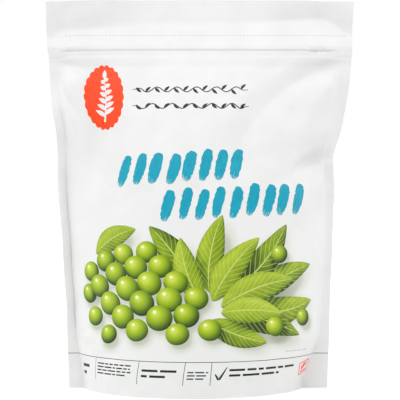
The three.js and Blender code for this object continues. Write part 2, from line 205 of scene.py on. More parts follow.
def lean(x_flat, height):
    """How far both films stand back from the pouch's middle plane, x_flat being the same for both."""
    out = abs(x_flat)
    at_left = x_flat < 0
    bend = header_bend(x_flat)
    top_lean = TOP_LEAN * (1 - ease(out, *UPRIGHT))
    left_round, right_round = [rounder * ease(out, *run) for rounder, *run in BEND_ENDS]
    rounding = BEND_ROUND + np.where(at_left, left_round, right_round)
    back = HEADER_LEAN * turned(height, HEADER_FOOT, LEAN_ROUND)
    back = back - (HEADER_LEAN - top_lean) * turned(height, bend, rounding)
    curl = np.where(at_left, *CORNER_CURL) * ease(out, *CURL_RUN) * ease(height - bend, *CURL_RISE)
    near_seal = ease(out, WAVE_START, SEAL_LINE)
    waved = near_seal * ease(height, *WAVED[:2]) * (1 - ease(height, *WAVED[2:]))
    phase = np.where(at_left, *WAVE_PHASE)
    wave = sum(np.sin(height / pace + (i + 1) * phase) * share for i, (pace, share) in enumerate(WAVES))
    start, crest, top, end = FORWARD_RUN
    straight_back = turned(height, top, FORWARD_ROUND[0]) - turned(height, end, FORWARD_ROUND[1])
    straight_back = straight_back / (end - top)
    forward = ease(height, start, crest) - straight_back
    forward = forward * np.where(at_left, *SEAL_FORWARD) * near_seal
    fin = turned(out, SEAL_LINE, 0.5)
    fin = fin * (1 + FIN_ROLL * (1 - fin / SIDE_SEAL)) * np.sin(fin_turn(x_flat, height))
    groove = 1 - ease(abs(x_flat + SEAL_LINE - 0.4), 0, GROOVE_HALF)
    groove = GROOVE_DEPTH * ease(left_turn(height), *GROOVE_TURN) * groove
    kink = valley(height - KINK_Z, np.where(height > KINK_Z, *KINK_HALF), 0.4)
    kink = KINK_DEPTH * ease(x_flat, *KINK_ACROSS) * kink
    return back - curl + SEAL_WAVE * waved * wave - forward - fin + groove + kink


def wall_arc(height):
    """The middle, half chord, depth and half angle of the arc that the walls make at a height."""
    ends = []
    for way, edge in ((-1, left_edge), (1, right_edge)):
        sealed = WIDTH / 2 - seal_line(way, height)
        lost = SIDE_SEAL * (1 - np.cos(fin_turn(way, height)))
        ends.append(edge(height) - way * (sealed - lost))
    half_chord = (ends[1] - ends[0]) / 2
    depth = np.maximum(belly(height), 0.02)
    round_angle = 2 * np.arctan(depth / half_chord)
    angle = FOOT_ANGLE + (round_angle - FOOT_ANGLE) * ease(height, *FOOT_RUN)
    return (ends[0] + ends[1]) / 2, half_chord, depth, angle


def wall(across, height, side):
    """The middle of a wall's film, in millimetres, before it folds."""
    x_flat = -side * across
    middle, half_chord, depth, angle = wall_arc(height)
    inner = seal_line(x_flat, height)
    share = np.clip(x_flat / inner, -1, 1)
    turned_in = np.maximum(abs(x_flat) - SEAL_LINE, 0) * (1 - np.cos(fin_turn(x_flat, height)))
    in_seal = x_flat - share * inner - np.sign(x_flat) * turned_in
    x = middle + half_chord * np.sin(share * angle) / np.sin(angle) + in_seal
    out = depth * (np.cos(share * angle) - np.cos(angle)) / (1 - np.cos(angle))
    out = out + stack(across, x_flat, height)
    return np.stack([x, side * out + lean(x_flat, height), height + 0 * x], -1)


def normals(surface, across, height, step=0.3):
    """Unit normals that point out of the pouch, for a surface given as a function of the two."""
    over = surface(across + step, height) - surface(across - step, height)
    up = surface(across, height + step) - surface(across, height - step)
    n = np.cross(over, up)
    return n / np.linalg.norm(n, axis=-1, keepdims=True)


# ---- The two walls: folds -----------------------------------------------------------------------
# Film can bend but hardly stretch, so where a flat sheet has to follow a round filling it folds: sharp
# creases run in from the seals and die out in the tight film over the beans.


def fold(across, height, path, depth, near, far, crisp=0.8):
    """A crease of a depth along a path, near and far its half widths at the path's two ends.

    The depth fades in over the path's first tenth and out to nothing at its end. A negative depth
    stands out as a ridge.
    """
    pts = np.array(path, float)
    here = np.stack([across, height], -1)
    best = np.full(across.shape, 1e9)
    along = np.zeros(across.shape)
    lengths = np.linalg.norm(np.diff(pts, axis=0), axis=1)
    starts = np.concatenate([[0], np.cumsum(lengths)])
    for a, b, length, start in zip(pts[:-1], pts[1:], lengths, starts):
        t = np.clip((here - a) @ (b - a) / length**2, 0, 1)
        gap = np.linalg.norm(here - a - t[..., None] * (b - a), axis=-1)
        closer = gap < best
        best = np.where(closer, gap, best)
        along = np.where(closer, (start + t * length) / starts[-1], along)
    width = near + (far - near) * along
    return -depth * valley(best, width, crisp) * ease(along, -0.1, 0.1) * (1 - ease(along, 0.55, 1.04))


def dent(across, height, middle, size, depth, turn=0.0):
    """A soft oval dent of a depth, or a bulge where it is negative; size gives its half axes."""
    c, s = math.cos(turn), math.sin(turn)
    dx, dz = across - middle[0], height - middle[1]
    r = np.hypot((dx * c + dz * s) / size[0], (dz * c - dx * s) / size[1])
    return -depth * (1 - ease(r, 0, 1))


def lumps(across, height, seed, pitch, count=40):
    """Smooth unevenness about a pitch across, between about -1 and 1."""
    draw = np.random.default_rng(seed)
    total = np.zeros(np.shape(across))
    for _ in range(count):
        turn, phase = draw.uniform(0, 2 * math.pi, 2)
        pace = 2 * math.pi / (pitch * draw.uniform(0.8, 1.6))
        total += np.cos(pace * (np.cos(turn) * across + np.sin(turn) * height) + phase)
    return total / math.sqrt(2 * count)


def unbonded(across, height):
    """1 where a wall is free to fold, and 0 in its seals and over the closure."""
    sides = 1 - ease(abs(across), SEAL_LINE - 7, SEAL_LINE)
    return sides * ease(height, FOOT_SEAL, FOOT_SEAL + 6) * (1 - ease(height, 222.5, 226))


# Each wall's folds and dents, each with its own values in the order in which fold or dent takes them.
FRONT_FOLDS = (
    # The long fold that comes down from the zipper's right end, with a ridge beside it.
    (fold, [(102, 220.5), (94, 221.5), (86, 219.6), (74, 214.5), (61, 206.5), (50, 198), (42, 189),
            (35, 178), (29, 165), (25, 152), (22, 139)], 3.3, 5, 24, 1.5),
    (fold, [(102, 220), (95, 221.6), (87, 220.6)], 0.8, 2.6, 2.6, 0.4),
    (fold, [(94, 211), (88, 202), (82, 191), (78, 181), (71, 171), (66, 161), (61, 151), (57, 143)],
     -3.5, 9, 26, 2.5),
    # The sharp crease in from the dent in the right edge, with the film sunk above it and full below.
    (fold, [(104, 159.2), (98, 158.8), (92, 158), (85, 157), (79, 155.2), (72, 151.5), (66, 146.5),
            (60, 139), (56, 131)], 3.0, 4, 9, 0.5),
    (dent, (87, 160), (27, 19), 3.2, 0.3),
    (dent, (83, 133), (27, 30), 2.2),
    (dent, (66, 136), (42, 34), -3.0),
    (dent, (80, 130), (32, 21), -2.4),
    (dent, (97, 140), (24, 22), -2.6),
    # Short puckers at the left seal, below the zipper.
    (fold, [(-98, 204), (-92, 197), (-86, 187), (-82, 176)], 1.5, 4, 6, 1),
    (fold, [(-97, 216), (-90, 208), (-84, 197), (-78, 184)], -1.4, 5, 8, 2),
    (dent, (-87, 207), (17, 14), -2.3, 0.5),
    (fold, [(-97, 192), (-93, 184), (-90, 174)], -0.8, 3, 4, 1),
    (fold, [(-98, 223.4), (-92, 222.8), (-86, 221.8)], 0.8, 2.2, 2.2, 0.5),
    # Soft dents low down, over hollows between the beans.
    (dent, (56, 31), (14, 10), 1.6, 0.5),
    (dent, (70, 38), (9, 6), -0.9, 0.5),
    (dent, (-82, 36), (12, 6), -1.0, 0.2),
    (dent, (-58, 27), (15, 6), 0.9, 0.1),
)
BACK_FOLDS = (
    (fold, [(-99, 222), (-84, 217), (-66, 207), (-50, 190), (-40, 172)], 2.2, 5, 14),
    (fold, [(99, 222), (86, 214), (74, 202), (66, 186), (60, 168)], 1.8, 5, 11),
    (fold, [(-105, 158), (-92, 154), (-78, 148), (-64, 144)], 2.4, 6, 4, 0.5),
    (dent, (-88, 168), (18, 16), 2.0, 0.5),
    (dent, (-40, 40), (16, 10), 1.2, -0.3),
    (dent, (60, 54), (14, 9), 1.0, 0.4),
)
BEAN_LUMPS = (0.16, 17)  # how far the beans show through the film where it is full, and their pitch
SLOW_LUMPS = (0.5, 75)  # the same for the slow waves of the whole wall


def folded(across, height, seeds, folds):
    """How far the film of a wall stands out from the wall's form."""
    free = 1 - ease(abs(across), SEAL_LINE - 14, SEAL_LINE - 1)
    low = 1 - ease(height, 80, 118)
    proud, pitch = BEAN_LUMPS
    out = proud * lumps(across, height, seeds[0], pitch) * free * low * ease(height, FOOT_SEAL, 16)
    proud, pitch = SLOW_LUMPS
    lump = proud * lumps(across, height, seeds[1], pitch)
    out += lump * free * ease(height, 10, 40) * (1 - ease(height, 190, 215))
    for shape, *values in folds:
        out += shape(across, height, *values)
    return out * unbonded(across, height)


# Height against how far the closed zipper pushes the film out over it. The film goes round the rib's
# foot in a step so sharp that it shows as a line.
closure_step = curve((224.6, 0), (225.8, 0.3), (228.2, 0.1), (229.4, 0.42), (230.3, 0.48), (231.0, 0.0),
                     (231.25, -0.08), (231.8, 0.86), (233.2, 0.85), (236.8, 0.45), (238.6, 0))
closure_soft = curve((224.6, 0), (225.8, 0.25), (231.5, 0.4), (238.6, 0))
# The closure has been crushed beside its right end, here. Each mark's way across and up from there, its
# half width and its depth.
STOP = (81.5, 230.9)
STOP_HALF = 1.8  # half height of each mark
STOP_MARKS = ((-5, 0.4, 1.4, 1.0), (-1.6, -0.2, 1.8, 1.5), (2.6, 0.5, 1.5, 1.4), (5.8, 0, 1.2, 1))
# Towards both side seals the film is creased in along the strip's foot: the way out to that end, the
# crease's height there, and how it rises outwards.
FOOT_CREASES = ((-1, 226.1, -0.06), (1, 226.4, 0.03))
FOOT_DEPTH, FOOT_HALF = 0.6, 0.9
# Near its left end the strip is pressed in along its middle, and beyond that the film stands up over it.
WEDGE_DEPTH, WEDGE_HALF = 0.55, 1.3
PROUD_END, PROUD_SIZE, PROUD = (-91.5, 232.2), (5.5, 2.2), 0.7


def bump(gap):
    """1 in the middle of a soft bump, gap being the distance from there over its half width."""
    return np.exp(-(gap**2))


def relief(across, height, side):
    """What stands out of a wall through the film: the closure's profile and its crushed places."""
    if side == BACK:
        return closure_soft(height) * (1 - ease(abs(across), SEAL_LINE - 4, SEAL_LINE + 2))
    sharp = 1 - ease(abs(across), SEAL_LINE - 8, SEAL_LINE - 1)
    wobble = 0.06 * np.sin(across / 19.0) + 0.03 * np.sin(across / 6.7 + 1)
    out = closure_soft(height) + (closure_step(height + wobble) - closure_soft(height)) * sharp
    out *= 1 - ease(abs(across), SEAL_LINE - 1, SEAL_LINE + 3)
    for at, up, half_width, depth in STOP_MARKS:
        away = np.hypot((across - STOP[0] - at) / half_width, (height - STOP[1] - up) / STOP_HALF)
        out -= depth * bump(away)
    for way, foot, rise in FOOT_CREASES:
        end = ease(way * across, 88, 96)
        out -= FOOT_DEPTH * end * bump((height - foot - rise * (way * across - 98)) / FOOT_HALF)
    wedge = ease(across, -96, -91) * (1 - ease(across, -86, -70))
    out -= WEDGE_DEPTH * wedge * bump((height - ZIPPER_Z - 0.03 * (across + 84)) / WEDGE_HALF)
    away = np.hypot((across - PROUD_END[0]) / PROUD_SIZE[0], (height - PROUD_END[1]) / PROUD_SIZE[1])
    return out + PROUD * bump(away)


class Film:
    """A wall as it stands: its form and its folds, which a grid of places on the flat film holds."""

    STEP = 1.25  # pitch of the grid that holds the folds

    def __init__(self, side, seeds, folds):
        self.side = side
        self.across = np.arange(-WIDTH / 2, WIDTH / 2 + self.STEP / 2, self.STEP)
        self.height = np.arange(0, HEIGHT + self.STEP, self.STEP)
        across, height = np.meshgrid(self.across, self.height)
        room = side * (self.form(across, height)[..., 1] - lean(-side * across, height)) - PLY
        out = folded(across, height, seeds, folds)
        # Film that folds in gets less and less far as it nears the other wall.
        out = np.where(out < 0, -room * np.tanh(-out / np.maximum(room, 0.01)), out)
        self.moved = out[..., None] * normals(self.form, across, height)

    def form(self, across, height):
        return wall(across, height, self.side)

    def interpolated(self, across, height):
        """The grid's movement at any place, by smooth interpolation over 4 x 4 of its points."""
        rows, columns = self.moved.shape[:2]
        u = np.clip((across - self.across[0]) / self.STEP, 0, columns - 1.001)
        v = np.clip((height - self.height[0]) / self.STEP, 0, rows - 1.001)
        i, j = u.astype(int), v.astype(int)

        def weights(t):
            return [((2 - t) * t - 1) * t / 2, ((3 * t - 5) * t * t + 2) / 2,
                    ((4 - 3 * t) * t + 1) * t / 2, (t - 1) * t * t / 2]

        total = 0
        for dj, wj in enumerate(weights(v - j)):
            row = np.clip(j + dj - 1, 0, rows - 1)
            for di, wi in enumerate(weights(u - i)):
                column = np.clip(i + di - 1, 0, columns - 1)
                total = total + (wi * wj)[..., None] * self.moved[row, column]
        return total

    def smooth(self, across, height):
        """The middle of the folded film."""
        return self.form(across, height) + self.interpolated(across, height)

    def skin(self, across, height, off):
        """Points off the film's middle by a distance, with the closure's relief."""
        out = relief(across, height, self.side) + off
        return self.smooth(across, height) + out[..., None] * normals(self.smooth, across, height)


# ---- The two walls: printed laminate ------------------------------------------------------------
# The walls are white polyethylene laminated under a thin, matt, reverse-printed polyester. The inks
# lie under that matt ply, so print and bare film have the same soft sheen.

FLAT, MOTIF, TONE = "flat", "motif", "tone"  # metres on the flat film; within one motif; its strength
WHITE_FILM = "#DEDFDE"
PEEL, PEEL_DEPTH = 1.11, 0.03  # millimetres across and deep, for the fine orange peel of matt film
SLOW_WAVE, SLOW_DEPTH = 26.3, 0.4  # and for the slow waves left in it by the rollers


def srgb(code):
    """An sRGB hex colour as the linear values that a shader takes."""
    parts = [int(code[i : i + 2], 16) / 255 for i in (1, 3, 5)]
    return [p / 12.92 if p <= 0.04045 else ((p + 0.055) / 1.055) ** 2.4 for p in parts] + [1]


def add(tree, kind, inputs=(), **settings):
    """Adds a node. Each of its inputs is given a value, or another node's output to be linked to."""
    made = tree.nodes.new("ShaderNode" + kind)
    for name, value in settings.items():
        if name == "stops":
            ramp = made.color_ramp.elements
            ramp.remove(ramp[1])
            ramp[0].position = value[0][0]
            for at, _ in value[1:]:
                ramp.new(at)
            for stop, (_, colour) in zip(ramp, value):
                stop.color = srgb(colour)
        else:
            setattr(made, name, value)
    for socket, value in dict(inputs).items():
        if isinstance(value, bpy.types.NodeSocket):
            tree.links.new(value, made.inputs[socket])
        else:
            made.inputs[socket].default_value = value
    return made.outputs[0] if made.outputs else made


def pattern(size):
    """The scale of a pattern whose features are this many millimetres in size."""
    return 1 / (size * MM)


def new_material(name):
    """A material without nodes, and the tree that they go into."""
    made = bpy.data.materials.new(name)
    made.use_nodes = True
    made.node_tree.nodes.clear()
    return made, made.node_tree


def laminate(name, ink):
    """Matt laminate over an ink, which is a function that adds its nodes and gives their colour."""
    # The matt ply spreads every highlight wide, and its waves make the sheen of a round wall uneven.
    made, tree = new_material(name)
    flat = add(tree, "UVMap", uv_map=FLAT)
    peel = add(tree, "TexNoise", {"Vector": flat, "Scale": pattern(PEEL), "Detail": 2})
    waves = add(tree, "TexNoise", {"Vector": flat, "Scale": pattern(SLOW_WAVE), "Detail": 1})
    rough = add(tree, "MapRange", {0: waves, 3: 0.4, 4: 0.48})
    fine = add(tree, "Bump", {"Height": peel, "Strength": 0.25, "Distance": PEEL_DEPTH * MM})
    soft = add(tree, "Bump", {
        "Height": waves, "Strength": 0.3, "Distance": SLOW_DEPTH * MM, "Normal": fine})
    shader = add(tree, "BsdfPrincipled", {
        "Base Color": ink(tree), "Roughness": rough, "Normal": soft, "Specular IOR Level": 0.35})
    add(tree, "OutputMaterial", {0: shader})
    return made


# ---- The two walls: inks and motifs -------------------------------------------------------------
# The web is printed flat, before it is laminated, cut and sealed: a few solid inks, dabs of a brush,
# and a picture. Each motif is an outline on the flat film, filled with one ink.


class Print:
    """What is printed on one wall, in the order in which it covers what lies under it."""

    def __init__(self):
        self.inks = [laminate_white]
        self.motifs = []

    def lay(self, outline, ink, place=None, tone=0.0):
        """Prints an outline, in millimetres on the flat film, in an ink.

        place turns points of the film into the motif's own coordinates. tone is a number, or a
        function of points, which the ink may use.
        """
        if ink not in self.inks:
            self.inks.append(ink)
        outline = np.array(outline, float)
        following = np.roll(outline, -1, 0)
        if np.sum(outline[:, 0] * following[:, 1] - following[:, 0] * outline[:, 1]) < 0:
            outline = outline[::-1]
        self.motifs.append((outline, self.inks.index(ink), place, tone))


def box_outline(left, foot, width, height):
    """The corners of a rectangle."""
    return [(left, foot), (left + width, foot), (left + width, foot + height), (left, foot + height)]


def oval(middle, size, count=36, scallops=0, proud=0.0):
    """An ellipse of the half axes given, with scallops standing proud of it if there are any."""
    angle = np.linspace(0, 2 * math.pi, count, endpoint=False)
    out = 1 + proud * (abs(np.cos(scallops * angle / 2)) - 0.5)
    x, z = size[0] * out * np.cos(angle), size[1] * out * np.sin(angle)
    return np.stack([middle[0] + x, middle[1] + z], -1)


def oval_place(middle, size, turn=0):
    """The function for an oval's coordinates, which are 0 in its middle and 1 away at its edge."""
    c, s = math.cos(turn), math.sin(turn)

    def place(points):
        dx, dz = points[:, 0] - middle[0], points[:, 1] - middle[1]
        return np.stack([(dx * c + dz * s) / size[0], (dz * c - dx * s) / size[1]], -1)

    return place


def blade(base, tip, half_width, bend=0.0, blunt=0.75, lean_back=0.25, ragged=None, count=19):
    """The outline of a leaf or a brush mark from base to tip, and the function for its coordinates.

    u runs from -1 at the base to 1 at the tip, and v from -1 to 1 between its two edges.
    """
    base, tip = np.array(base, float), np.array(tip, float)
    half = np.linalg.norm(tip - base) / 2
    along = (tip - base) / (2 * half)
    over = np.array([-along[1], along[0]])
    middle = (base + tip) / 2

    def shape(u):
        return np.maximum(1 - abs(u) ** 2, 0) ** blunt * (1 - lean_back * u)

    def curved(u):
        return bend * half * (1 - u * u)

    u = np.cos(np.linspace(0, math.pi, count))
    edge = half_width * shape(u)
    jag = np.zeros((2, count)) if ragged is None else ragged.uniform(-0.35, 0.35, (2, count))
    upper = curved(u) + edge + jag[0] * (edge > 0)
    lower = curved(u) - edge + jag[1] * (edge > 0)
    u_all = np.concatenate([u, u[-2:0:-1]])
    v_all = np.concatenate([upper, lower[-2:0:-1]])
    outline = middle + half * u_all[:, None] * along + v_all[:, None] * over

    def place(points):
        local = points - middle
        u = local @ along / half
        v = (local @ over - curved(u)) / (half_width * np.maximum(shape(u), 0.08))
        return np.stack([u, np.clip(v, -1.2, 1.2)], -1)

    return outline, place


def ribbon(points, widths):
    """The outline of a stroke through points, as wide at each as widths says."""
    points = np.array(points, float)
    along = np.gradient(points, axis=0)
    over = np.stack([-along[:, 1], along[:, 0]], -1) / np.linalg.norm(along, axis=1)[:, None]
    half = np.broadcast_to(np.array(widths, float) / 2, (len(points),))[:, None]
    return np.concatenate([points - half * over, (points + half * over)[::-1]])


# Small print is bars: their height, the room between words and the pitch of lines, in print sizes.
BAR_HIGH, WORD_GAP, LINE_PITCH = 0.72, 0.75, 1.75


def small_print(wall_print, left, top, width, lines, size, seed, ink=None):
    """Lines of bars that stand for small print, black unless another ink is given."""
    draw = np.random.default_rng(seed)
    for line in range(lines):
        end = left + width * (draw.uniform(0.55, 0.9) if line == lines - 1 else draw.uniform(0.92, 1))
        foot = top - (line + 0.8) * size * LINE_PITCH
        at = left
        while at < end - size:
            word = min(size * draw.uniform(1.6, 5.5), end - at)
            wall_print.lay(box_outline(at, foot, word, size * BAR_HIGH), ink or ink_black)
            at += word + WORD_GAP * size


def dab(wall_print, draw, foot, top, half_widths, bends):
    """A mark of a flat brush, pulled down from top to foot."""
    outline, place = blade(top, foot, draw.uniform(*half_widths), bend=draw.uniform(*bends),
                           blunt=0.3, lean_back=0.12, ragged=draw, count=23)
    wall_print.lay(outline, ink_blue, place, tone=draw.uniform(0, 40))


def mottled(dark, light, size=2.0):
    """An ink that varies a little between two colours in patches of a size, as a solid print does."""

    def ink(tree):
        flat = add(tree, "UVMap", uv_map=FLAT)
        mottle = add(tree, "TexNoise", {"Vector": flat, "Scale": pattern(size), "Detail": 3})
        return add(tree, "ValToRGB", {0: mottle}, stops=[(0.35, dark), (0.65, light)])

    return ink


def printed_blue(tree):
    # A dry brush leaves streaks along each dab, and the paint breaks up towards its end.
    place = add(tree, "UVMap", uv_map=MOTIF)
    tone = add(tree, "Attribute", attribute_name=TONE).node.outputs["Fac"]
    streaks = add(tree, "Mapping", {"Vector": place, "Scale": (1.1, 7.5, 1)})
    streaks = add(tree, "VectorMath", {0: streaks, 1: tone}, operation="ADD")
    bristle = add(tree, "TexNoise", {"Vector": streaks, "Scale": 1.3, "Detail": 4, "Roughness": 0.6})
    parts = add(tree, "SeparateXYZ", {0: place})
    dryness = add(tree, "MapRange", {0: parts, 1: -0.1, 2: 1.1, 3: 0.1, 4: 0.5})
    bare = add(tree, "Math", {0: bristle, 1: dryness}, operation="SUBTRACT")
    bare = add(tree, "MapRange", {0: bare, 1: -0.02, 2: 0.03})
    paint = add(tree, "ValToRGB", {0: bristle}, stops=[(0.35, "#008CA6"), (0.65, "#12A2BA")])
    mixed = add(tree, "Mix", {0: bare, 6: srgb(WHITE_FILM), 7: paint}, data_type="RGBA")
    return mixed.node.outputs[2]


def printed_leaf(tree):
    # Side veins run forward from a pale midrib, and one half of the blade turns to the light.
    place = add(tree, "UVMap", uv_map=MOTIF)
    flat = add(tree, "UVMap", uv_map=FLAT)
    tone = add(tree, "Attribute", attribute_name=TONE).node.outputs["Fac"]
    parts = add(tree, "SeparateXYZ", {0: place}).node
    side = add(tree, "Math", {0: parts.outputs[1]}, operation="ABSOLUTE")
    forward = add(tree, "Math", {0: side, 1: -0.42, 2: parts.outputs[0]}, operation="MULTIPLY_ADD")
    between = add(tree, "Math", {0: forward, 1: 0.085}, operation="PINGPONG")
    vein = add(tree, "MapRange", {0: between, 1: 0.004, 2: 0.02, 3: 0.55, 4: 0})
    midrib = add(tree, "MapRange", {0: side, 1: 0.02, 2: 0.07, 3: 0.9, 4: 0})
    veins = add(tree, "Math", {0: vein, 1: midrib}, operation="MAXIMUM")
    mottle = add(tree, "TexNoise", {"Vector": flat, "Scale": pattern(7.14), "Detail": 3})
    lit = add(tree, "MapRange", {0: parts.outputs[1], 1: -1, 2: 1, 3: -0.2, 4: 0.25})
    lit = add(tree, "Math", {0: lit, 1: tone}, operation="ADD")
    lit = add(tree, "Math", {0: mottle, 1: 0.45, 2: lit}, operation="MULTIPLY_ADD")
    rim = add(tree, "MapRange", {0: side, 1: 0.72, 2: 1, 3: 0, 4: 0.2})
    lit = add(tree, "Math", {0: lit, 1: rim}, operation="SUBTRACT")
    blade_green = add(tree, "ValToRGB", {0: lit}, stops=[
        (0.0, "#2C4203"), (0.25, "#557005"), (0.5, "#809A10"), (0.75, "#A3B82A"), (1.0, "#C4D060")])
    mixed = add(tree, "Mix", {0: veins, 6: blade_green, 7: srgb("#C2CF70")}, data_type="RGBA")
    return mixed.node.outputs[2]


def printed_berry(tree):
    # A round fruit lit from the upper left, with a bright glint.
    place = add(tree, "UVMap", uv_map=MOTIF)
    tone = add(tree, "Attribute", attribute_name=TONE).node.outputs["Fac"]
    away = add(tree, "VectorMath", {0: place, 1: (-0.28, 0.34, 0)}, operation="DISTANCE")
    away = away.node.outputs["Value"]
    lit = add(tree, "MapRange", {0: away, 1: 0.15, 2: 1.35, 3: 1, 4: 0})
    lit = add(tree, "Math", {0: lit, 1: tone}, operation="ADD")
    skin = add(tree, "ValToRGB", {0: lit}, stops=[
        (0.0, "#233802"), (0.22, "#4C6A04"), (0.48, "#7F9C0C"), (0.76, "#A2BA20"), (1.0, "#C0CF4C")])
    spot = add(tree, "VectorMath", {0: place, 1: (-0.36, 0.46, 0)}, operation="DISTANCE")
    spot = add(tree, "MapRange", {0: spot.node.outputs["Value"], 1: 0.05, 2: 0.2, 3: 0.8, 4: 0})
    mixed = add(tree, "Mix", {0: spot, 6: skin, 7: srgb("#F3F6D9")}, data_type="RGBA")
    return mixed.node.outputs[2]


def printed_shadow(tree):
    # The deeper a shadow of the picture, the denser its soft grey-green tint.
    tone = add(tree, "Attribute", attribute_name=TONE).node.outputs["Fac"]
    return add(tree, "ValToRGB", {0: tone}, stops=[
        (0.0, WHITE_FILM), (0.5, "#CFD1C6"), (1.0, "#8E9483")])


# The white ply shows wherever there is no ink, and solid inks are a little uneven over it.
laminate_white = laminate("matt_white_laminate", mottled("#DCDDDC", "#E0E1E0", 16.7))
ink_red = laminate("matt_laminate_red_ink", mottled("#EC3C0C", "#F54A12"))
ink_blue = laminate("matt_laminate_brushed_blue_ink", printed_blue)
ink_black = laminate("matt_laminate_black_ink", mottled("#191A1B", "#212223"))
ink_grey = laminate("matt_laminate_grey_ink", mottled("#B4B6B6", "#BCBEBE"))
ink_leaf = laminate("matt_laminate_leaf_print", printed_leaf)
ink_berry = laminate("matt_laminate_berry_print", printed_berry)
ink_shadow = laminate("matt_laminate_shadow_print", printed_shadow)
sealant = laminate("polyethylene_inner_face", mottled("#E1E4E4", "#E7E9E9", 11.1))

# ---- Front wall ---------------------------------------------------------------------------------
# One sheet of the printed laminate, cut to size, nicked at both edges for tearing, and heat-sealed to
# the back wall up the sides and along the top, and to the gusset along the foot.

TEAR_Z = 242.0
NOTCH, NOTCH_HALF = 1.5, 0.3  # a tear notch is a nick this deep, and this much to either side
TOP_ENDS, TOP_BOW = 0.5, 2.6  # how far the top was cut above HEIGHT at its ends, and more in the middle
RIGHT_DROP = 0.6  # and less at the right-hand corner


def top_edge(across):
    """Height of the cut along the top of the flat film."""
    bow = TOP_BOW * (1 - (2 * abs(across) / WIDTH) ** 2.5)
    return HEIGHT + TOP_ENDS + bow - RIGHT_DROP * ease(across, 92, 105)


def film_outline():
    """The wall's cut edge, with a tear notch on each side."""
    half = WIDTH / 2
    right = [(half, 0), (half, TEAR_Z - NOTCH_HALF), (half - NOTCH, TEAR_Z),
             (half, TEAR_Z + NOTCH_HALF)]
    a = np.linspace(half, -half, 60)
    top = np.stack([a, top_edge(a)], -1)
    return np.concatenate([right, top, [(-a, z) for a, z in reversed(right)]]).astype(float)


def divided(outline, step):
    """The outline with points added so that none of its sides is longer than step."""
    result = []
    for start, end in zip(outline, np.roll(outline, -1, 0)):
        parts = max(1, math.ceil(np.linalg.norm(end - start) / step))
        result.append(start + (end - start) * np.arange(parts)[:, None] / parts)
    return np.concatenate(result)


SHARP_EDGE = 55  # degrees of turn above which an edge of the film is drawn sharp, as its cut is
CUT_PITCH, MOTIF_PITCH = 1.6, 1.8  # between points along the cut edge and along a motif's outline
CLEAR = 0.3  # between those points and the points inside them
SIDE_CLEAR, FOOT_CLEAR, TOP_CLEAR = 0.4, 0.8, 0.6  # and between the cut edge and the mesh's own rows
# The mesh's rows lie closer where the closure shapes the film, and its columns beside the seals and over
# the crushed place: (up to here, the pitch).
ROW_PITCH = ((222, 1.6), (229.5, 0.7), (233.5, 0.3), (240, 0.7), (256, 1.0), (HEIGHT + 2.4, 1.6))
COLUMN_PITCH = ((-101, 0.75), (-96, 0.4), (-90, 0.75), (72, 1.75), (90, 0.8), (96, 0.75), (101, 0.5),
                (WIDTH / 2 - CLEAR, 0.75))


def steps(start, pitches):
    """Places from start on, each a pitch after the one before it: (up to here, the pitch)."""
    places = [start]
    for end, pitch in pitches:
        while places[-1] < end:
            places.append(places[-1] + pitch)
    return np.array(places[:-1])


def wall_points():
    """The places of the mesh's points inside the cut edge, every other row half a step across."""
    columns = steps(-WIDTH / 2 + SIDE_CLEAR, COLUMN_PITCH)
    half_step = np.gradient(columns) / 2
    points = [np.stack([columns + (i % 2) * half_step, np.full(len(columns), z)], -1)
              for i, z in enumerate(steps(FOOT_CLEAR, ROW_PITCH))]
    points = np.concatenate(points)
    under_top = points[:, 1] < top_edge(points[:, 0]) - TOP_CLEAR
    return points[under_top & (abs(points[:, 0]) < WIDTH / 2 - CLEAR)]


def finder(points):
    """A tree that finds the nearest of some points."""
    tree = kdtree.KDTree(len(points))
    for i, point in enumerate(points):
        tree.insert(point, i)
    tree.balance()
    return tree


def new_mesh(name, points, faces, *materials):
    """A mesh of points in millimetres, none of them under the floor."""
    points[:, 2] = np.maximum(points[:, 2], 0)
    mesh = bpy.data.meshes.new(name)
    mesh.from_pydata((points * MM).tolist(), [], faces)
    for material in materials:
        mesh.materials.append(material)
    return mesh


def set_flat(mesh, corners):
    """Gives each corner of the faces its place on the flat material."""
    mesh.uv_layers.new(name=FLAT).data.foreach_set("uv", (corners * MM).ravel())


def new_piece(mesh, sharp=180):
    """The piece of a finished mesh, smooth but where it turns by more than sharp degrees."""
    mesh.validate()
    mesh.shade_smooth()
    mesh.set_sharp_from_angle(angle=math.radians(sharp))
    made = bpy.data.objects.new(mesh.name, mesh)
    bpy.context.scene.collection.objects.link(made)
    return made


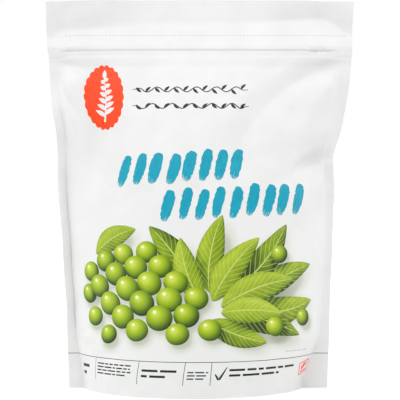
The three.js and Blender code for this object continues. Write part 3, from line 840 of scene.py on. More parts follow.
def film_piece(name, film, wall_print, inside):
    """One wall as a closed sheet of laminate, its outer skin divided along the print's outlines."""
    outlines = [divided(film_outline(), CUT_PITCH)]
    outlines += [divided(outline, MOTIF_PITCH) for outline, *_ in wall_print.motifs]
    starts = np.cumsum([0] + [len(o) for o in outlines])
    fixed = np.concatenate(outlines)
    tree = finder(np.pad(fixed, ((0, 0), (0, 1))))
    free = [p for p in wall_points() if tree.find((*p, 0))[2] > CLEAR]
    loops = [list(range(a, b)) for a, b in zip(starts[:-1], starts[1:])]
    points = [Vector(p) for p in np.concatenate([fixed, free])]
    points, _, faces, _, _, sources = delaunay_2d_cdt(points, [], loops, 1, 1e-5)
    flat = np.array([tuple(p) for p in points])
    faces = np.array([f for f in faces], int)
    topmost = np.array([max(s) for s in sources])

    outer = film.skin(flat[:, 0], flat[:, 1], PLY / 2)
    inner = film.skin(flat[:, 0], flat[:, 1], -PLY / 2)
    count = len(flat)
    edges = np.concatenate([faces[:, [0, 1]], faces[:, [1, 2]], faces[:, [2, 0]]])
    _, where, uses = np.unique(np.sort(edges, 1), axis=0, return_index=True, return_counts=True)
    rim = edges[where[uses == 1]]
    rim_faces = np.concatenate([
        np.stack([rim[:, 0], rim[:, 0] + count, rim[:, 1] + count], -1),
        np.stack([rim[:, 0], rim[:, 1] + count, rim[:, 1]], -1)])
    all_faces = np.concatenate([faces, faces[:, ::-1] + count, rim_faces])
    corners = np.concatenate([flat, flat])[all_faces.ravel()]

    mesh = new_mesh(name, np.concatenate([outer, inner]), all_faces.tolist(), *wall_print.inks, inside)
    within = np.zeros((len(corners), 2))
    tones = np.zeros(len(corners))
    zone = np.zeros(len(all_faces), int)
    zone[len(faces) : 2 * len(faces)] = len(wall_print.inks)
    for number, (_, ink, place, tone) in enumerate(wall_print.motifs, 1):
        mine = np.flatnonzero(topmost == number)
        zone[mine] = ink
        at = (mine[:, None] * 3 + np.arange(3)).ravel()
        if place:
            within[at] = place(corners[at])
        tones[at] = tone(corners[at]) if callable(tone) else tone
    mesh.polygons.foreach_set("material_index", zone)
    set_flat(mesh, corners)
    mesh.uv_layers.new(name=MOTIF).data.foreach_set("uv", within.ravel())
    mesh.attributes.new(TONE, "FLOAT", "CORNER").data.foreach_set("value", tones)
    return new_piece(mesh, SHARP_EDGE)


front_print = Print()

# The emblem: a scalloped oval with a plain sprig.
EMBLEM = (-66.5, 198.5)
EMBLEM_HALF = (14.0, 22.0)
STEM_LENGTH, STEM_JOINTS = 30, 14
front_print.lay(oval(EMBLEM, EMBLEM_HALF, count=132, scallops=22, proud=0.06), ink_red)
stem = np.array([(EMBLEM[0] + 1.6 * math.sin(t * 3.0), EMBLEM[1] - 17 + STEM_LENGTH * t)
                 for t in np.linspace(0, 1, STEM_JOINTS)])
front_print.lay(ribbon(stem, np.linspace(1.3, 0.5, STEM_JOINTS)), laminate_white)
for t in range(2, STEM_JOINTS, 2):
    for way in (-1, 1):
        x, z = stem[t] + (0, 0.8 * way)
        reach = 7.6 - 0.42 * t
        tip = (x + way * reach, z + 0.62 * reach)
        front_print.lay(blade((x, z), tip, 1.5, bend=0.1 * way)[0], laminate_white)
front_print.lay(blade(stem[-1], stem[-1] + (0.4, 6), 1.4)[0], laminate_white)

# Two lines of vine, drawn with a pen.
VINE_SWING, VINE_WAVE, VINE_LEAVES = 1.7, 13.5, 12
for left, right, height, phase in ((-46, 33, 203.3, 0.0), (-46, 34, 191.8, 1.3)):
    a = np.linspace(left, right, 90)
    swing = VINE_SWING * np.sin((a - left) * 2 * math.pi / VINE_WAVE + phase)
    fade = np.clip(np.minimum(a - left, right - a) / 6, 0.25, 1)
    front_print.lay(ribbon(np.stack([a, height + swing * fade], -1), 0.35 + 0.35 * fade), ink_black)
    for i in range(VINE_LEAVES):
        way = 1 if i % 2 else -1
        x = left + 2.5 + i * 6.5
        z = height + VINE_SWING * math.sin((x - left) * 2 * math.pi / VINE_WAVE + phase)
        tip = (x + 3.6, z + way * 3.4)
        front_print.lay(blade((x, z), tip, 0.95, bend=0.12 * way, count=9)[0], ink_black)

# A picture of leaves and berries, with the soft shadows that they cast on the white and each other.
LEAVES = [  # base, tip, half width, bend, tone
    ((34, 60), (89, 84), 9.5, 0.10, 0.22), ((24, 66), (66, 113), 10.5, -0.12, 0.12),
    ((8, 66), (18, 120), 9.5, 0.14, 0.30), ((-2, 66), (-34, 112), 10.0, -0.12, 0.15),
    ((30, 52), (91, 58), 10.5, -0.12, 0.26), ((22, 50), (76, 34), 9.5, 0.12, 0.10),
    ((10, 60), (44, 104), 9.5, 0.12, 0.36), ((2, 60), (-12, 104), 9.0, 0.12, 0.40),
    ((16, 56), (72, 74), 10.5, 0.14, 0.32), ((8, 46), (48, 30), 8.5, -0.1, 0.24),
    ((-78, 92), (-44, 110), 8.0, 0.16, 0.30), ((16, 52), (62, 50), 9.0, 0.10, 0.42),
]
BERRIES = [  # across, height, half width, half height
    (-54, 92, 8.0, 7.4), (-36, 94, 8.0, 7.6), (-83, 79, 7.6, 7.2), (-69, 87, 8.4, 7.8),
    (-86, 63, 7.4, 7.0), (-44, 83, 8.8, 8.2), (-60, 78, 9.0, 8.4), (-26, 84, 8.6, 8.0),
    (-75, 69, 8.8, 8.2), (-15, 73, 8.6, 8.0), (-34, 72, 9.2, 8.6), (-51, 68, 9.4, 8.8),
    (-1, 62, 8.4, 8.0), (-66, 57, 9.0, 8.4), (-20, 61, 9.2, 8.6), (-40, 58, 9.6, 9.0),
    (-55, 48, 9.2, 8.6), (-8, 50, 9.0, 8.4), (-27, 48, 9.6, 9.0), (-80, 47, 7.4, 7.0),
    (-43, 39, 8.6, 8.0), (8, 40, 8.2, 7.6), (-14, 37, 8.2, 7.6), (60, 92, 6.8, 6.4),
    (56, 41, 7.4, 7.0), (-66, 35, 7.2, 6.8), (82, 46, 6.6, 6.2),
]


def scaled_leaves(leaves, scale, shift):
    """The leaves drawn to a scale, and then moved by shift."""
    return [(np.multiply(base, scale) + shift, np.multiply(tip, scale) + shift,
             half_width * scale, bend, tone) for base, tip, half_width, bend, tone in leaves]


# The picture is printed a little smaller and higher than it is drawn above.
PICTURE_SCALE, PICTURE_LIFT = 0.93, 7.5
leaves = scaled_leaves(LEAVES, PICTURE_SCALE, (0, PICTURE_LIFT))
berries = [np.multiply(berry, PICTURE_SCALE) + (0, PICTURE_LIFT, 0, 0) for berry in BERRIES]


def leaf_oval(base, tip, half_width):
    """The middle, half axes and turn of an oval that covers about as much as a leaf."""
    along = np.subtract(tip, base)
    half = np.linalg.norm(along) / 2
    return (np.array(base) + tip) / 2, (half, half_width * 1.1), math.atan2(along[1], along[0])


# A shadow falls this far off what casts it, is larger by soft, and is as dark as strength.
ON_WHITE = {"drop": (2.5, -4), "soft": (4.5, 3.5), "strength": 0.72}
ON_PRINT = {"drop": (1.5, -3), "soft": (4, 3.5), "strength": 0.75}


def cast(shapes, points, drop, soft, strength):
    """How dark the shadows of some ovals make each point, from 0 to 1."""
    clear = np.ones(len(points))
    for middle, size, turn in shapes:
        place = oval_place(np.array(middle) + drop, np.add(size, soft), turn)
        clear *= 1 - strength * (1 - ease(np.linalg.norm(place(points), axis=1), 0.4, 1))
    return 1 - clear


shapes = [leaf_oval(*leaf[:3]) for leaf in leaves]
shapes += [((a, z), (wide, high), 0) for a, z, wide, high in berries]
front_print.lay(oval((0, 70), (99, 57), count=120), ink_shadow,
                tone=lambda points: cast(shapes, points, **ON_WHITE))


def shaded(number, own):
    """A motif's own tone, less the shadows of those that are printed over it."""
    return lambda points: own - 0.62 * cast(shapes[number + 1 :], points, **ON_PRINT)


for number, (*form, tone) in enumerate(leaves):
    outline, place = blade(*form, count=31)
    front_print.lay(outline, ink_leaf, place, shaded(number, tone))
for number, (a, z, wide, high) in enumerate(berries, len(leaves)):
    own = 0.08 * math.sin(a * 1.7 + z)
    front_print.lay(oval((a, z), (wide, high)), ink_berry, oval_place((a, z), (wide, high)),
                    shaded(number, own))

# Two staggered rows of brush dabs, each a little out of line.
DAB_PITCH, DAB_HEIGHT = 11.1, 20.5
draw = np.random.default_rng(3)
for count, left, foot, rise in ((8, -49.5, 138.0, 0.055), (9, -19.0, 115.5, 0.045)):
    for i in range(count):
        a = left + DAB_PITCH * i + draw.uniform(-0.6, 0.6)
        z = foot + rise * (a - left) + draw.uniform(-0.7, 0.7)
        top = (a + 3.2 + draw.uniform(-0.5, 0.5), z + DAB_HEIGHT + draw.uniform(-0.8, 0.8))
        dab(front_print, draw, (a - 2.4, z), top, (3.3, 4.1), (-0.06, 0.1))

# The foot band: a rule, upright dividers, blocks of small print between them, and a tick.
RULE_Z, RULE_THICK = 23.8, 0.4
DIVIDER_FOOT, DIVIDER_THICK = 8.6, 0.36
rule = box_outline(-WIDTH / 2 + 0.2, RULE_Z - RULE_THICK / 2, WIDTH - 0.4, RULE_THICK)
front_print.lay(rule, ink_black)
for a in (-70.6, -35, -6, 9.5):
    front_print.lay(box_outline(a - DIVIDER_THICK / 2, DIVIDER_FOOT, DIVIDER_THICK,
                                RULE_Z - RULE_THICK / 2 - DIVIDER_FOOT), ink_black)
for block in ((-88.5, 20, 12, 2, 2.8, 11), (-68.5, 21.5, 30, 4, 1.25, 12), (-32.5, 20, 24, 2, 2.1, 13),
              (-4, 18.5, 12, 3, 1.2, 14), (20, 20.5, 50, 2, 2, 15)):
    small_print(front_print, *block)
TICK, TICK_WIDTHS = [(11.9, 16.0), (13.9, 12.6), (14.5, 12.6), (18.6, 20.5)], [0.7, 1.5, 1.5, 0.5]
front_print.lay(ribbon(TICK, TICK_WIDTHS), ink_black)
small_print(front_print, 59.6, 29.4, 28, 1, 0.9, 16, ink_grey)

# A small leaning frame with a plain leaf.
FRAME = (82.0, 15.6)
FRAME_TURN = math.radians(9)


def in_frame(points):
    """Points drawn about the frame's middle, turned with it."""
    c, s = math.cos(FRAME_TURN), math.sin(FRAME_TURN)
    return np.array(points) @ [[c, s], [-s, c]] + FRAME


front_print.lay(in_frame(box_outline(-7.2, -4.5, 14.4, 9)), ink_red)
front_print.lay(in_frame(box_outline(-6.2, -3.7, 12.4, 7.4)), laminate_white)
leaf_in_frame, _ = blade((-4.6, -0.8), (4.6, 2.2), 1.5, bend=0.15, count=15)
front_print.lay(in_frame(leaf_in_frame), ink_red)
front_print.lay(in_frame(box_outline(-4.6, -2.9, 9.2, 0.9)), ink_red)

# The tear line's dashes.
DASH, DASH_PITCH = 1.5, 2.5
dash_places = np.arange(-92.7, 101.9, DASH_PITCH)
for a in dash_places:
    front_print.lay(box_outline(a, TEAR_Z, DASH, 0.42), ink_grey)

front_film = Film(FRONT, (5, 8), FRONT_FOLDS)
front = film_piece("front_film", front_film, front_print, sealant)
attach(front, "root")
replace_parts(front, "front_panel")

# ---- Back wall ----------------------------------------------------------------------------------
# The same laminate from the same web, cut and sealed with the front. It carries what a pack says on its
# back: a row of dabs, columns of small print, a ruled table, a strip of bars and a few leaves.

back_print = Print()
draw = np.random.default_rng(4)
for i in range(9):
    a = -50 + 12 * i + draw.uniform(-0.6, 0.6)
    z = 186 + draw.uniform(-0.7, 0.7)
    dab(back_print, draw, (a - 2, z), (a + 2.4, z + 15), (3.2, 3.8), (-0.05, 0.1))
for left, top, lines, seed in ((-78, 176, 9, 21), (-78, 142, 14, 22), (2, 176, 9, 23)):
    back_print.lay(box_outline(left, top + 0.8, 26, 2.2), ink_red)
    small_print(back_print, left, top, 70, lines, 1.5, seed)
# A ruled table, as a pack has for what is in it.
TABLE_LEFT, TABLE_FOOT, TABLE_WIDE, TABLE_ROWS, TABLE_STEP = 8, 78, 62, 12, 5.2
for row in range(TABLE_ROWS + 1):
    thick = 0.8 if row in (0, TABLE_ROWS - 2, TABLE_ROWS) else 0.3
    z = TABLE_FOOT + row * TABLE_STEP
    back_print.lay(box_outline(TABLE_LEFT, z, TABLE_WIDE, thick), ink_black)
    if row < TABLE_ROWS:
        small_print(back_print, TABLE_LEFT + 2, z + 4.4, draw.uniform(18, 30), 1, 1.6, 31 + row)
        small_print(back_print, TABLE_LEFT + 50, z + 4.4, 9, 1, 1.6, 51 + row)
# A strip of bars of even pitch and three widths.
BARS_LEFT, BARS_FOOT, BARS_HIGH, BARS, BAR_PITCH, BAR_WIDTHS = 12, 44, 17, 30, 1.7, (0.5, 1.1, 0.8)
for i in range(BARS):
    width = BAR_WIDTHS[i * i % 3]
    back_print.lay(box_outline(BARS_LEFT + i * BAR_PITCH, BARS_FOOT, width, BARS_HIGH), ink_black)
for *form, tone in scaled_leaves(leaves[:9], 0.62, (-62, 14)):
    outline, place = blade(*form, count=25)
    back_print.lay(outline, ink_leaf, place, tone)
back_print.lay(rule, ink_black)
small_print(back_print, -84, 19.5, 168, 3, 1.6, 71)
for a in dash_places:
    back_print.lay(box_outline(a, TEAR_Z + 0.05, DASH, 0.32), ink_grey)

back_film = Film(BACK, (6, 9), BACK_FOLDS)
back = film_piece("back_film", back_film, back_print, sealant)
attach(back, "root")
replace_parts(back, "back_panel")

# ---- Bottom gusset ------------------------------------------------------------------------------
# One sheet of unprinted laminate, folded once. Its edges are sealed to the walls along the foot, and
# its ends go up into the side seals as far as its fold. The fill presses its middle onto the floor.

DROP_RUN = 8.0  # how far in from the foot seal the gusset is back down on the floor
OPEN_RIM = (8, 24)  # half depths of the base between which the gusset opens flat
FLAT_HALF = 25.0  # half the length of the fold that lies flat on the floor
FOLD_RISE, SADDLE = 1.5, 1.6  # how sharply the fold climbs to the sides, and the gusset to its fold
FOLD_TURN = 0.99  # the share of a leaf where it starts to turn over at the fold
LEAF_APART = (PLY + FUSED) / 2  # from the pouch's middle to the middle of either leaf, at the fold
PUCKER, PUCKER_PITCH = 0.35, 14  # how far single beans' weight puckers the flat part, and how closely
SHEET_STEP = 0.0015  # a small step along the sheet, for its normals


def lining(across, height):
    """Where the gusset lies on the front wall: along X, and as a distance from the pouch's middle."""

    def front_form(a, z):
        return wall(a, z, FRONT)

    at = front_form(across, height) - (PLY + FUSED) * normals(front_form, across, height)
    return at[..., 0], lean(across, height) - at[..., 1]


def gusset_height(across, share):
    """Height of the gusset, share of the way from the foot seal to the fold."""
    rim = lining(across, FOOT_SEAL + 0 * across)[1]
    climb = np.clip((abs(across) - FLAT_HALF) / (SEAL_LINE - FLAT_HALF), 0, 1)
    fold_z = (GUSSET_FOLD - PLY) * climb**FOLD_RISE
    seal = FOOT_SEAL - PLY / 2
    drop = ease(rim * share / np.minimum(DROP_RUN, rim / 2), 0, 1)
    straight = seal + (fold_z - seal) * share
    saddle = fold_z * share**SADDLE + seal * (1 - drop)
    pucker = PUCKER * (1 + lumps(across, rim * share, 12, PUCKER_PITCH)) * drop * (1 - share**2)
    return PLY / 2 + straight + (saddle - straight) * ease(rim, *OPEN_RIM) + pucker


def gusset(across, along):
    """The middle of the gusset's film. along goes from -1 at the front foot to 1 at the back one."""
    from_foot = 1 - abs(along)
    sealed = FOOT_SEAL / GUSSET_FOLD
    share = np.clip((from_foot - sealed) / (1 - sealed), 0, 1)
    height = np.where(from_foot < sealed, from_foot * GUSSET_FOLD, gusset_height(across, share))
    x, out = lining(across, height)
    leaf = out + (LEAF_APART - out) * share / FOLD_TURN
    leaf = np.where(share > FOLD_TURN, LEAF_APART * (1 - share) / (1 - FOLD_TURN), leaf)
    out = np.where(from_foot < sealed, out, leaf)
    return np.stack([x, lean(across, height) + np.sign(along) * out, height], -1)


def way_along(points):
    """The way along a line of points, at each of them."""
    return np.concatenate([[0], np.cumsum(np.linalg.norm(np.diff(points, axis=0), axis=1))])


def sheet_piece(name, middle, normal, material):
    """A closed sheet PLY thick about a grid of points, with its UV in metres along the grid."""
    rows, columns = middle.shape[:2]
    off = normal * PLY / 2
    points = np.concatenate([(middle + off).reshape(-1, 3), (middle - off).reshape(-1, 3)])
    index = np.arange(rows * columns).reshape(rows, columns)
    cell = np.stack([index[:-1, :-1], index[:-1, 1:], index[1:, 1:], index[1:, :-1]], -1).reshape(-1, 4)
    border = np.concatenate([index[0], index[1:, -1], index[-1, -2::-1], index[-2:0:-1, 0]])
    after = np.roll(border, -1)
    far = rows * columns
    rim = np.stack([border, border + far, after + far, after], -1)
    faces = np.concatenate([cell, cell[:, ::-1] + far, rim])
    mesh = new_mesh(name, points, faces.tolist(), material)
    flat = np.meshgrid(way_along(middle[rows // 2]), way_along(middle[:, columns // 2]))
    flat = np.stack(flat, -1).reshape(-1, 2)
    set_flat(mesh, np.concatenate([flat, flat])[faces.ravel()])
    return new_piece(mesh, SHARP_EDGE)


gusset_across = np.concatenate([
    np.linspace(-WIDTH / 2, -SEAL_LINE, 6), np.linspace(-SEAL_LINE, SEAL_LINE, 112)[1:-1],
    np.linspace(SEAL_LINE, WIDTH / 2, 6)])
# Its rows lie closer just above the foot seal and at the fold.
leaf_share = np.concatenate([
    np.linspace(0, 0.125, 5), np.linspace(0.13, 0.3, 16), np.linspace(0.31, 0.96, 24),
    [0.975, 0.985, 0.9913]])
gusset_along = np.concatenate([leaf_share - 1, [-0.004, -1e-6, 0.004], 1 - leaf_share[::-1]])
gusset_grid = np.meshgrid(gusset_across, gusset_along)
gusset_normals = normals(gusset, *gusset_grid, SHEET_STEP)
gusset_film = laminate("matt_white_gusset_film", mottled("#DFE1E0", "#E5E7E6", 11.1))
gusset_piece = sheet_piece("gusset_sheet", gusset(*gusset_grid), gusset_normals, gusset_film)
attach(gusset_piece, "root")
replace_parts(gusset_piece, "bottom_gusset")

# ---- Closure ------------------------------------------------------------------------------------
# Two extruded strips of low-density polyethylene, one sealed inside each wall: an arrow-headed rib
# presses into a groove between two hooks. The side seals crush them, and the header bends them back.

FLANGE = 0.4  # thickness of the flange that is sealed to the wall
FLANGE_IN = ZIPPER_BACK - FLANGE
RIB_STEM, RIB_HEAD, RIB_TIP = 0.35, 0.9, FLANGE_IN - 0.3  # half thicknesses of the rib, and its reach
GROOVE_IN, HOOK_IN, LIP = 1.2, 0.7, 0.5  # half openings inside and between the hooks, which are so thick
GRIP_RIBS, GRIP_HALF, GRIP_HIGH = (5.0, 4.2, 3.4), 0.22, 0.16
STRIP_SHARP = 35  # degrees of turn above which an edge of the section is drawn sharp
FLANGE_PARTS = 12  # the back is divided up its height, to bend with the header
STRIP_SHORT, STRIP_ROWS = 0.4, 240  # how far its ends stay in from the walls' edges, and its rows


def flange_side(depth, way):
    """In from a flange's edge, along its inner side and over its low grip ribs."""
    line = [(depth, way * ZIPPER_HALF)]
    for at in GRIP_RIBS:
        line += [(depth, way * (at + GRIP_HALF)), (depth - math.copysign(GRIP_HIGH, depth), way * at),
                 (depth, way * (at - GRIP_HALF))]
    return line


RIB = [(-ZIPPER_BACK, -ZIPPER_HALF), *flange_side(-FLANGE_IN, -1), (-FLANGE_IN, -RIB_STEM),
       (RIB_TIP - 0.6, -RIB_STEM), (RIB_TIP - 0.62, -RIB_HEAD), (RIB_TIP - 0.3, -RIB_HEAD + 0.08),
       (RIB_TIP, -0.2), (RIB_TIP, 0.2), (RIB_TIP - 0.3, RIB_HEAD - 0.08), (RIB_TIP - 0.62, RIB_HEAD),
       (RIB_TIP - 0.6, RIB_STEM), (-FLANGE_IN, RIB_STEM), *flange_side(-FLANGE_IN, 1)[::-1],
       (-ZIPPER_BACK, ZIPPER_HALF)]
HOOK_TIP = RIB_TIP - 0.92
GROOVE_LOWER = [(ZIPPER_BACK, -ZIPPER_HALF), *flange_side(FLANGE_IN, -1), (FLANGE_IN, -GROOVE_IN - LIP),
                (HOOK_TIP - 0.3, -GROOVE_IN - LIP + 0.1), (HOOK_TIP - 0.4, -GROOVE_IN),
                (HOOK_TIP - 0.3, -HOOK_IN), (HOOK_TIP, -HOOK_IN), (HOOK_TIP, -GROOVE_IN),
                (FLANGE_IN, -GROOVE_IN)]
GROOVE = GROOVE_LOWER + [(depth, -height) for depth, height in GROOVE_LOWER[::-1]]


def tube_faces(rows, columns):
    """The faces of a tube of points, in rows that each go round it."""
    index = np.arange(rows * columns).reshape(rows, columns)
    after = np.roll(index, -1, 1)
    return np.stack([index[:-1], index[1:], after[1:], after[:-1]], -1).reshape(-1, 4)


def strip_piece(name, section, material):
    """A section of (depth, height) drawn along the closure's line from one side seal to the other."""
    back = section[0][0]
    heights = np.linspace(ZIPPER_HALF, -ZIPPER_HALF, FLANGE_PARTS + 1)[1:-1]
    section = np.array(section + [(back, height) for height in heights], float)
    across = np.linspace(-WIDTH / 2 + STRIP_SHORT, WIDTH / 2 - STRIP_SHORT, STRIP_ROWS)[:, None]
    height = ZIPPER_Z + section[:, 1] + 0 * across
    across = across + 0 * height
    at_back = section[:, 0] == back
    # Where the front film is pressed in, the back of the strip behind it is too.
    pressed = np.minimum(relief(across, height, FRONT), 0) * (at_back & (back < 0))
    # In the side seals the strips are melted solid, up to the pouch's middle plane.
    melted = ease(abs(across), SEAL_LINE - 1, SEAL_LINE + 1) * ~at_back
    deep = section[:, 0] * (1 - melted) + math.copysign(FUSED / 2, back) * melted
    y = deep * crush(across) - pressed + lean(across, height)
    points = np.stack([wall(across, height, FRONT)[..., 0], y, height], -1).reshape(-1, 3)
    rows, columns = across.shape
    ends = [list(range(columns)), list(range(len(points) - 1, len(points) - 1 - columns, -1))]
    faces = tube_faces(rows, columns).tolist() + ends
    mesh = new_mesh(name, points, faces, material)
    flat = np.stack([across, way_along(section) + 0 * across], -1).reshape(-1, 2)
    set_flat(mesh, flat[[i for face in faces for i in face]])
    made = new_piece(mesh, STRIP_SHARP)
    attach(made, "root")
    return made


def polyethylene():
    # Natural polyethylene is milky, and lets a little light through. Extruding leaves fine lines along
    # it, here a quarter of a millimetre apart.
    made, tree = new_material("extruded_natural_polyethylene")
    flat = add(tree, "UVMap", uv_map=FLAT)
    drawn = add(tree, "Mapping", {"Vector": flat, "Scale": (pattern(25), pattern(0.25), 1)})
    lines = add(tree, "TexNoise", {"Vector": drawn, "Scale": 1, "Detail": 2})
    tint = add(tree, "ValToRGB", {0: lines}, stops=[(0.3, "#DEE5E4"), (0.7, "#E9EEED")])
    rough = add(tree, "MapRange", {0: lines, 3: 0.26, 4: 0.4})
    lined = add(tree, "Bump", {"Height": lines, "Strength": 0.3, "Distance": 0.03 * MM})
    shader = add(tree, "BsdfPrincipled", {
        "Base Color": tint, "Roughness": rough, "Normal": lined, "IOR": 1.51,
        "Subsurface Weight": 0.3, "Subsurface Radius": (0.002, 0.002, 0.002)})
    add(tree, "OutputMaterial", {0: shader})
    return made


zipper_material = polyethylene()
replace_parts(strip_piece("closure_rib_strip", RIB, zipper_material), "zipper_rib")
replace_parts(strip_piece("closure_groove_strip", GROOVE, zipper_material), "zipper_groove")

# ---- Beans --------------------------------------------------------------------------------------
# Loose shelled beans, poured in through the open top. Each is a plump oval, flatter on the side where
# it hung in its pod, and they lie as they fell, held by the walls.

BEAN_HALF = (6.9, 5.6, 4.9)  # half its length, width and thickness
BEAN_APART = 11.3  # between the middles of two beans that touch
FILM_CLEAR = 7.5  # from a bean's middle to the film
POUR_PITCH = (12.6, 12.0, 10.8)  # between beans as they are let go
POUR_COUNT = (7, 3, 17)  # to either side, to the front and back, and up
POUR_TOP, POUR_HALF = 186.0, 92.0  # the cloud's height, and half its width
FALL, FALLS, REST = 2.4, 75, 35  # first step in millimetres, and how many steps fall and then rest
PUSH = 0.45  # the share of their overlap by which each of two beans moves away


def inner_faces():
    """For each film round the fill, points on its inner face and the directions from them inwards."""
    faces = []
    for film in (front_film, back_film):
        across, height = np.meshgrid(np.linspace(-SEAL_LINE, SEAL_LINE, 100), np.arange(4, 190, 2.0))
        out = normals(film.smooth, across, height)
        faces.append((film.smooth(across, height) - out * PLY / 2, -out))
    across, along = np.meshgrid(np.linspace(-SEAL_LINE, SEAL_LINE, 100), np.linspace(-0.96, 0.96, 70))
    up = normals(gusset, across, along, SHEET_STEP)
    up = up * np.sign(up[..., 2:])
    faces.append((gusset(across, along) + up * PLY / 2, up))
    return [(points.reshape(-1, 3), inwards.reshape(-1, 3)) for points, inwards in faces]


def bean_places():
    """Lets a loose cloud of beans sink in small steps, held apart from each other and the film."""
    draw = np.random.default_rng(7)
    wide, deep, high = POUR_COUNT
    x, y, z = np.meshgrid(np.arange(-wide, wide + 1.0), np.arange(-deep, deep + 1.0),
                          np.arange(1, high + 1.0))
    places = np.stack([x + z % 2 / 2, y + z % 3 / 3, z], -1).reshape(-1, 3) * POUR_PITCH
    places += draw.uniform(-3, 3, places.shape)
    room = belly(places[:, 2]) * (1 - (places[:, 0] / POUR_HALF) ** 2) - FILM_CLEAR
    places = places[(abs(places[:, 1]) < room) & (places[:, 2] < POUR_TOP)]
    films = [(finder(points), points, inwards) for points, inwards in inner_faces()]
    for step in range(FALLS + REST):
        places[:, 2] -= FALL * max(1 - step / FALLS, 0)
        for _ in range(2):
            apart = places[:, None] - places
            gap = np.linalg.norm(apart, axis=-1) + np.eye(len(places)) * 1e3
            push = np.maximum(BEAN_APART - gap, 0) / gap
            places += PUSH * np.einsum("ij,ijk->ik", push, apart)
        for tree, points, inwards in films:
            near = [tree.find(place)[1] for place in places]
            clear = np.einsum("ij,ij->i", places - points[near], inwards[near])
            places += np.maximum(FILM_CLEAR - clear, 0)[:, None] * inwards[near]
    return places


def bean_form(columns=12, rows=9):
    """One bean about the origin: its points, and its faces as four corners each."""
    around, down = np.meshgrid(np.linspace(0, 2 * math.pi, columns, endpoint=False),
                               np.linspace(0, math.pi, rows))
    x, y, z = np.sin(down) * np.cos(around), np.sin(down) * np.sin(around), np.cos(down)
    navel = np.exp(-((x / 0.45) ** 2) - ((z / 0.25) ** 2)) * (y > 0)
    points = np.stack([z, y * (1 - 0.12 * (y > 0) - 0.1 * navel) + 0.1 * z * z, x], -1) * BEAN_HALF
    return points.reshape(-1, 3), tube_faces(rows, columns)


def beans_piece(material):
    """All the beans, each turned its own way but most of them lying flat, in one piece."""
    draw = np.random.default_rng(8)
    places = bean_places()
    form, faces = bean_form()
    turns = draw.normal(size=(len(places), 4)) * (1, 0.35, 1, 0.35)
    points, all_faces, tones = [], [], []
    for i, (place, turn) in enumerate(zip(places, turns)):
        w, x, y, z = turn / np.linalg.norm(turn)
        rotation = np.array([
            [1 - 2 * (y * y + z * z), 2 * (x * y - z * w), 2 * (x * z + y * w)],
            [2 * (x * y + z * w), 1 - 2 * (x * x + z * z), 2 * (y * z - x * w)],
            [2 * (x * z - y * w), 2 * (y * z + x * w), 1 - 2 * (x * x + y * y)]])
        points.append(form * draw.uniform(0.9, 1.04) @ rotation.T + place)
        all_faces.append(faces + i * len(form))
        tones.append(np.full(len(form), draw.uniform()))
    mesh = new_mesh("loose_beans", np.concatenate(points), np.concatenate(all_faces).tolist(), material)
    mesh.attributes.new(TONE, "FLOAT", "POINT").data.foreach_set("value", np.concatenate(tones))
    return new_piece(mesh)


def bean_skin():
    # A blanched bean's skin is thin and glossy, and the pale flesh under it glows a little.
    made, tree = new_material("blanched_bean_skin")
    place = add(tree, "TexCoord").node.outputs["Object"]
    tone = add(tree, "Attribute", attribute_name=TONE).node.outputs["Fac"]
    mottle = add(tree, "TexNoise", {"Vector": place, "Scale": pattern(3.85), "Detail": 3})
    mixed = add(tree, "Math", {0: tone, 1: 0.5, 2: mottle}, operation="MULTIPLY_ADD")
    tint = add(tree, "ValToRGB", {0: mixed}, stops=[
        (0.3, "#6E9420"), (0.7, "#8DB52C"), (1.0, "#A9C750")])
    fine = add(tree, "TexNoise", {"Vector": place, "Scale": pattern(0.714), "Detail": 2})
    rough = add(tree, "MapRange", {0: fine, 3: 0.28, 4: 0.42})
    dimpled = add(tree, "Bump", {"Height": fine, "Strength": 0.3, "Distance": 0.1 * MM})
    shader = add(tree, "BsdfPrincipled", {
        "Base Color": tint, "Roughness": rough, "Normal": dimpled, "IOR": 1.4,
        "Subsurface Weight": 0.15, "Subsurface Radius": (0.003, 0.004, 0.001)})
    add(tree, "OutputMaterial", {0: shader})
    return made


beans = beans_piece(bean_skin())
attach(beans, "root")
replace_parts(beans, "edamame_beans")

# ---- Studio -------------------------------------------------------------------------------------
# A matt white board runs under and far behind the pouch, in a white tent with one wide soft light. The
# camera stands level in front, just under half the pouch's height.

FLOOR_HALF = 30000.0
floor_corners = np.array([(-1, -1, 0), (1, -1, 0), (1, 1, 0), (-1, 1, 0)]) * FLOOR_HALF
board, tree = new_material("white_board")
grain = add(tree, "TexNoise", {"Scale": 300})
grain = add(tree, "Bump", {"Height": grain, "Strength": 0.05, "Distance": 0.2 * MM})
shader = add(tree, "BsdfPrincipled", {
    "Base Color": srgb("#FBFBFB"), "Roughness": 0.8, "Specular IOR Level": 0.0, "Normal": grain})
add(tree, "OutputMaterial", {0: shader})
floor = new_piece(new_mesh("floor", floor_corners, [(0, 1, 2, 3)], board))

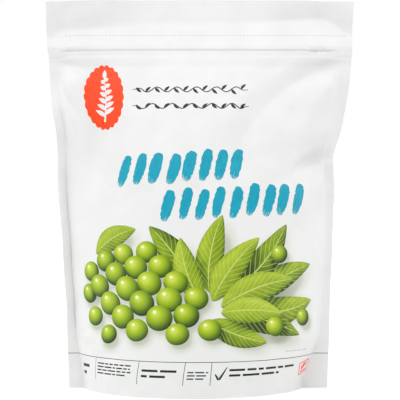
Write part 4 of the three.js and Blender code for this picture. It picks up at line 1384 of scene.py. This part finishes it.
# The tent is brightest overhead and at both sides, brighter behind the pouch than behind the camera,
# and plain white where the camera sees it.
TENT_LEVEL = -0.05
TENT_SLOPE = (-0.02, 0.3, 0.8)  # how much brighter it is to the right, the back and the top
TENT_SIDES = 1.6  # and how much brighter to both sides alike
world = bpy.data.worlds.new("white_tent")
bpy.context.scene.world = world
world.use_nodes = True
tent = world.node_tree
tent.nodes.clear()
way = add(tent, "TexCoord").node.outputs["Generated"]
cloth = add(tent, "VectorMath", {0: way, 1: TENT_SLOPE}, operation="DOT_PRODUCT").node.outputs["Value"]
cloth = add(tent, "Math", {0: cloth, 1: TENT_LEVEL}, operation="ADD")
to_side = add(tent, "SeparateXYZ", {0: way})
to_side = add(tent, "Math", {0: to_side, 1: 2.0}, operation="POWER")
cloth = add(tent, "Math", {0: to_side, 1: TENT_SIDES, 2: cloth}, operation="MULTIPLY_ADD")
inside_tent = add(tent, "Background", {0: srgb("#FFFFFF"), 1: cloth})
seen = add(tent, "Background", {0: srgb("#FFFFFF"), 1: 1.0})
camera_ray = add(tent, "LightPath").node.outputs["Is Camera Ray"]
tent_light = add(tent, "MixShader", {0: camera_ray, 1: inside_tent, 2: seen})
add(tent, "OutputWorld", {0: tent_light})

# One wide soft light, from above the camera and a little to its left.
KEY_HEIGHT, KEY_TURN, KEY_WIDE = math.radians(56), math.radians(-8), math.radians(60)
KEY_STRENGTH = 1.6
key = bpy.data.objects.new("wide_soft_light", bpy.data.lights.new("wide_soft_light", "SUN"))
key.data.energy = KEY_STRENGTH
key.data.angle = KEY_WIDE
key.rotation_euler = (math.pi / 2 - KEY_HEIGHT, 0, KEY_TURN)
bpy.context.scene.collection.objects.link(key)

CAMERA_Z = 128.9
CAMERA_BACK = 760.0
VIEW_HALF = 137.5  # half the width seen at the pouch's middle
camera = bpy.data.objects.new("camera", bpy.data.cameras.new("camera"))
camera.location = (0, -CAMERA_BACK * MM, CAMERA_Z * MM)
camera.rotation_euler = (math.pi / 2, 0, 0)
camera.data.angle = 2 * math.atan(VIEW_HALF / CAMERA_BACK)
bpy.context.scene.collection.objects.link(camera)
bpy.context.scene.camera = camera
bpy.context.scene.view_settings.view_transform = "Standard"
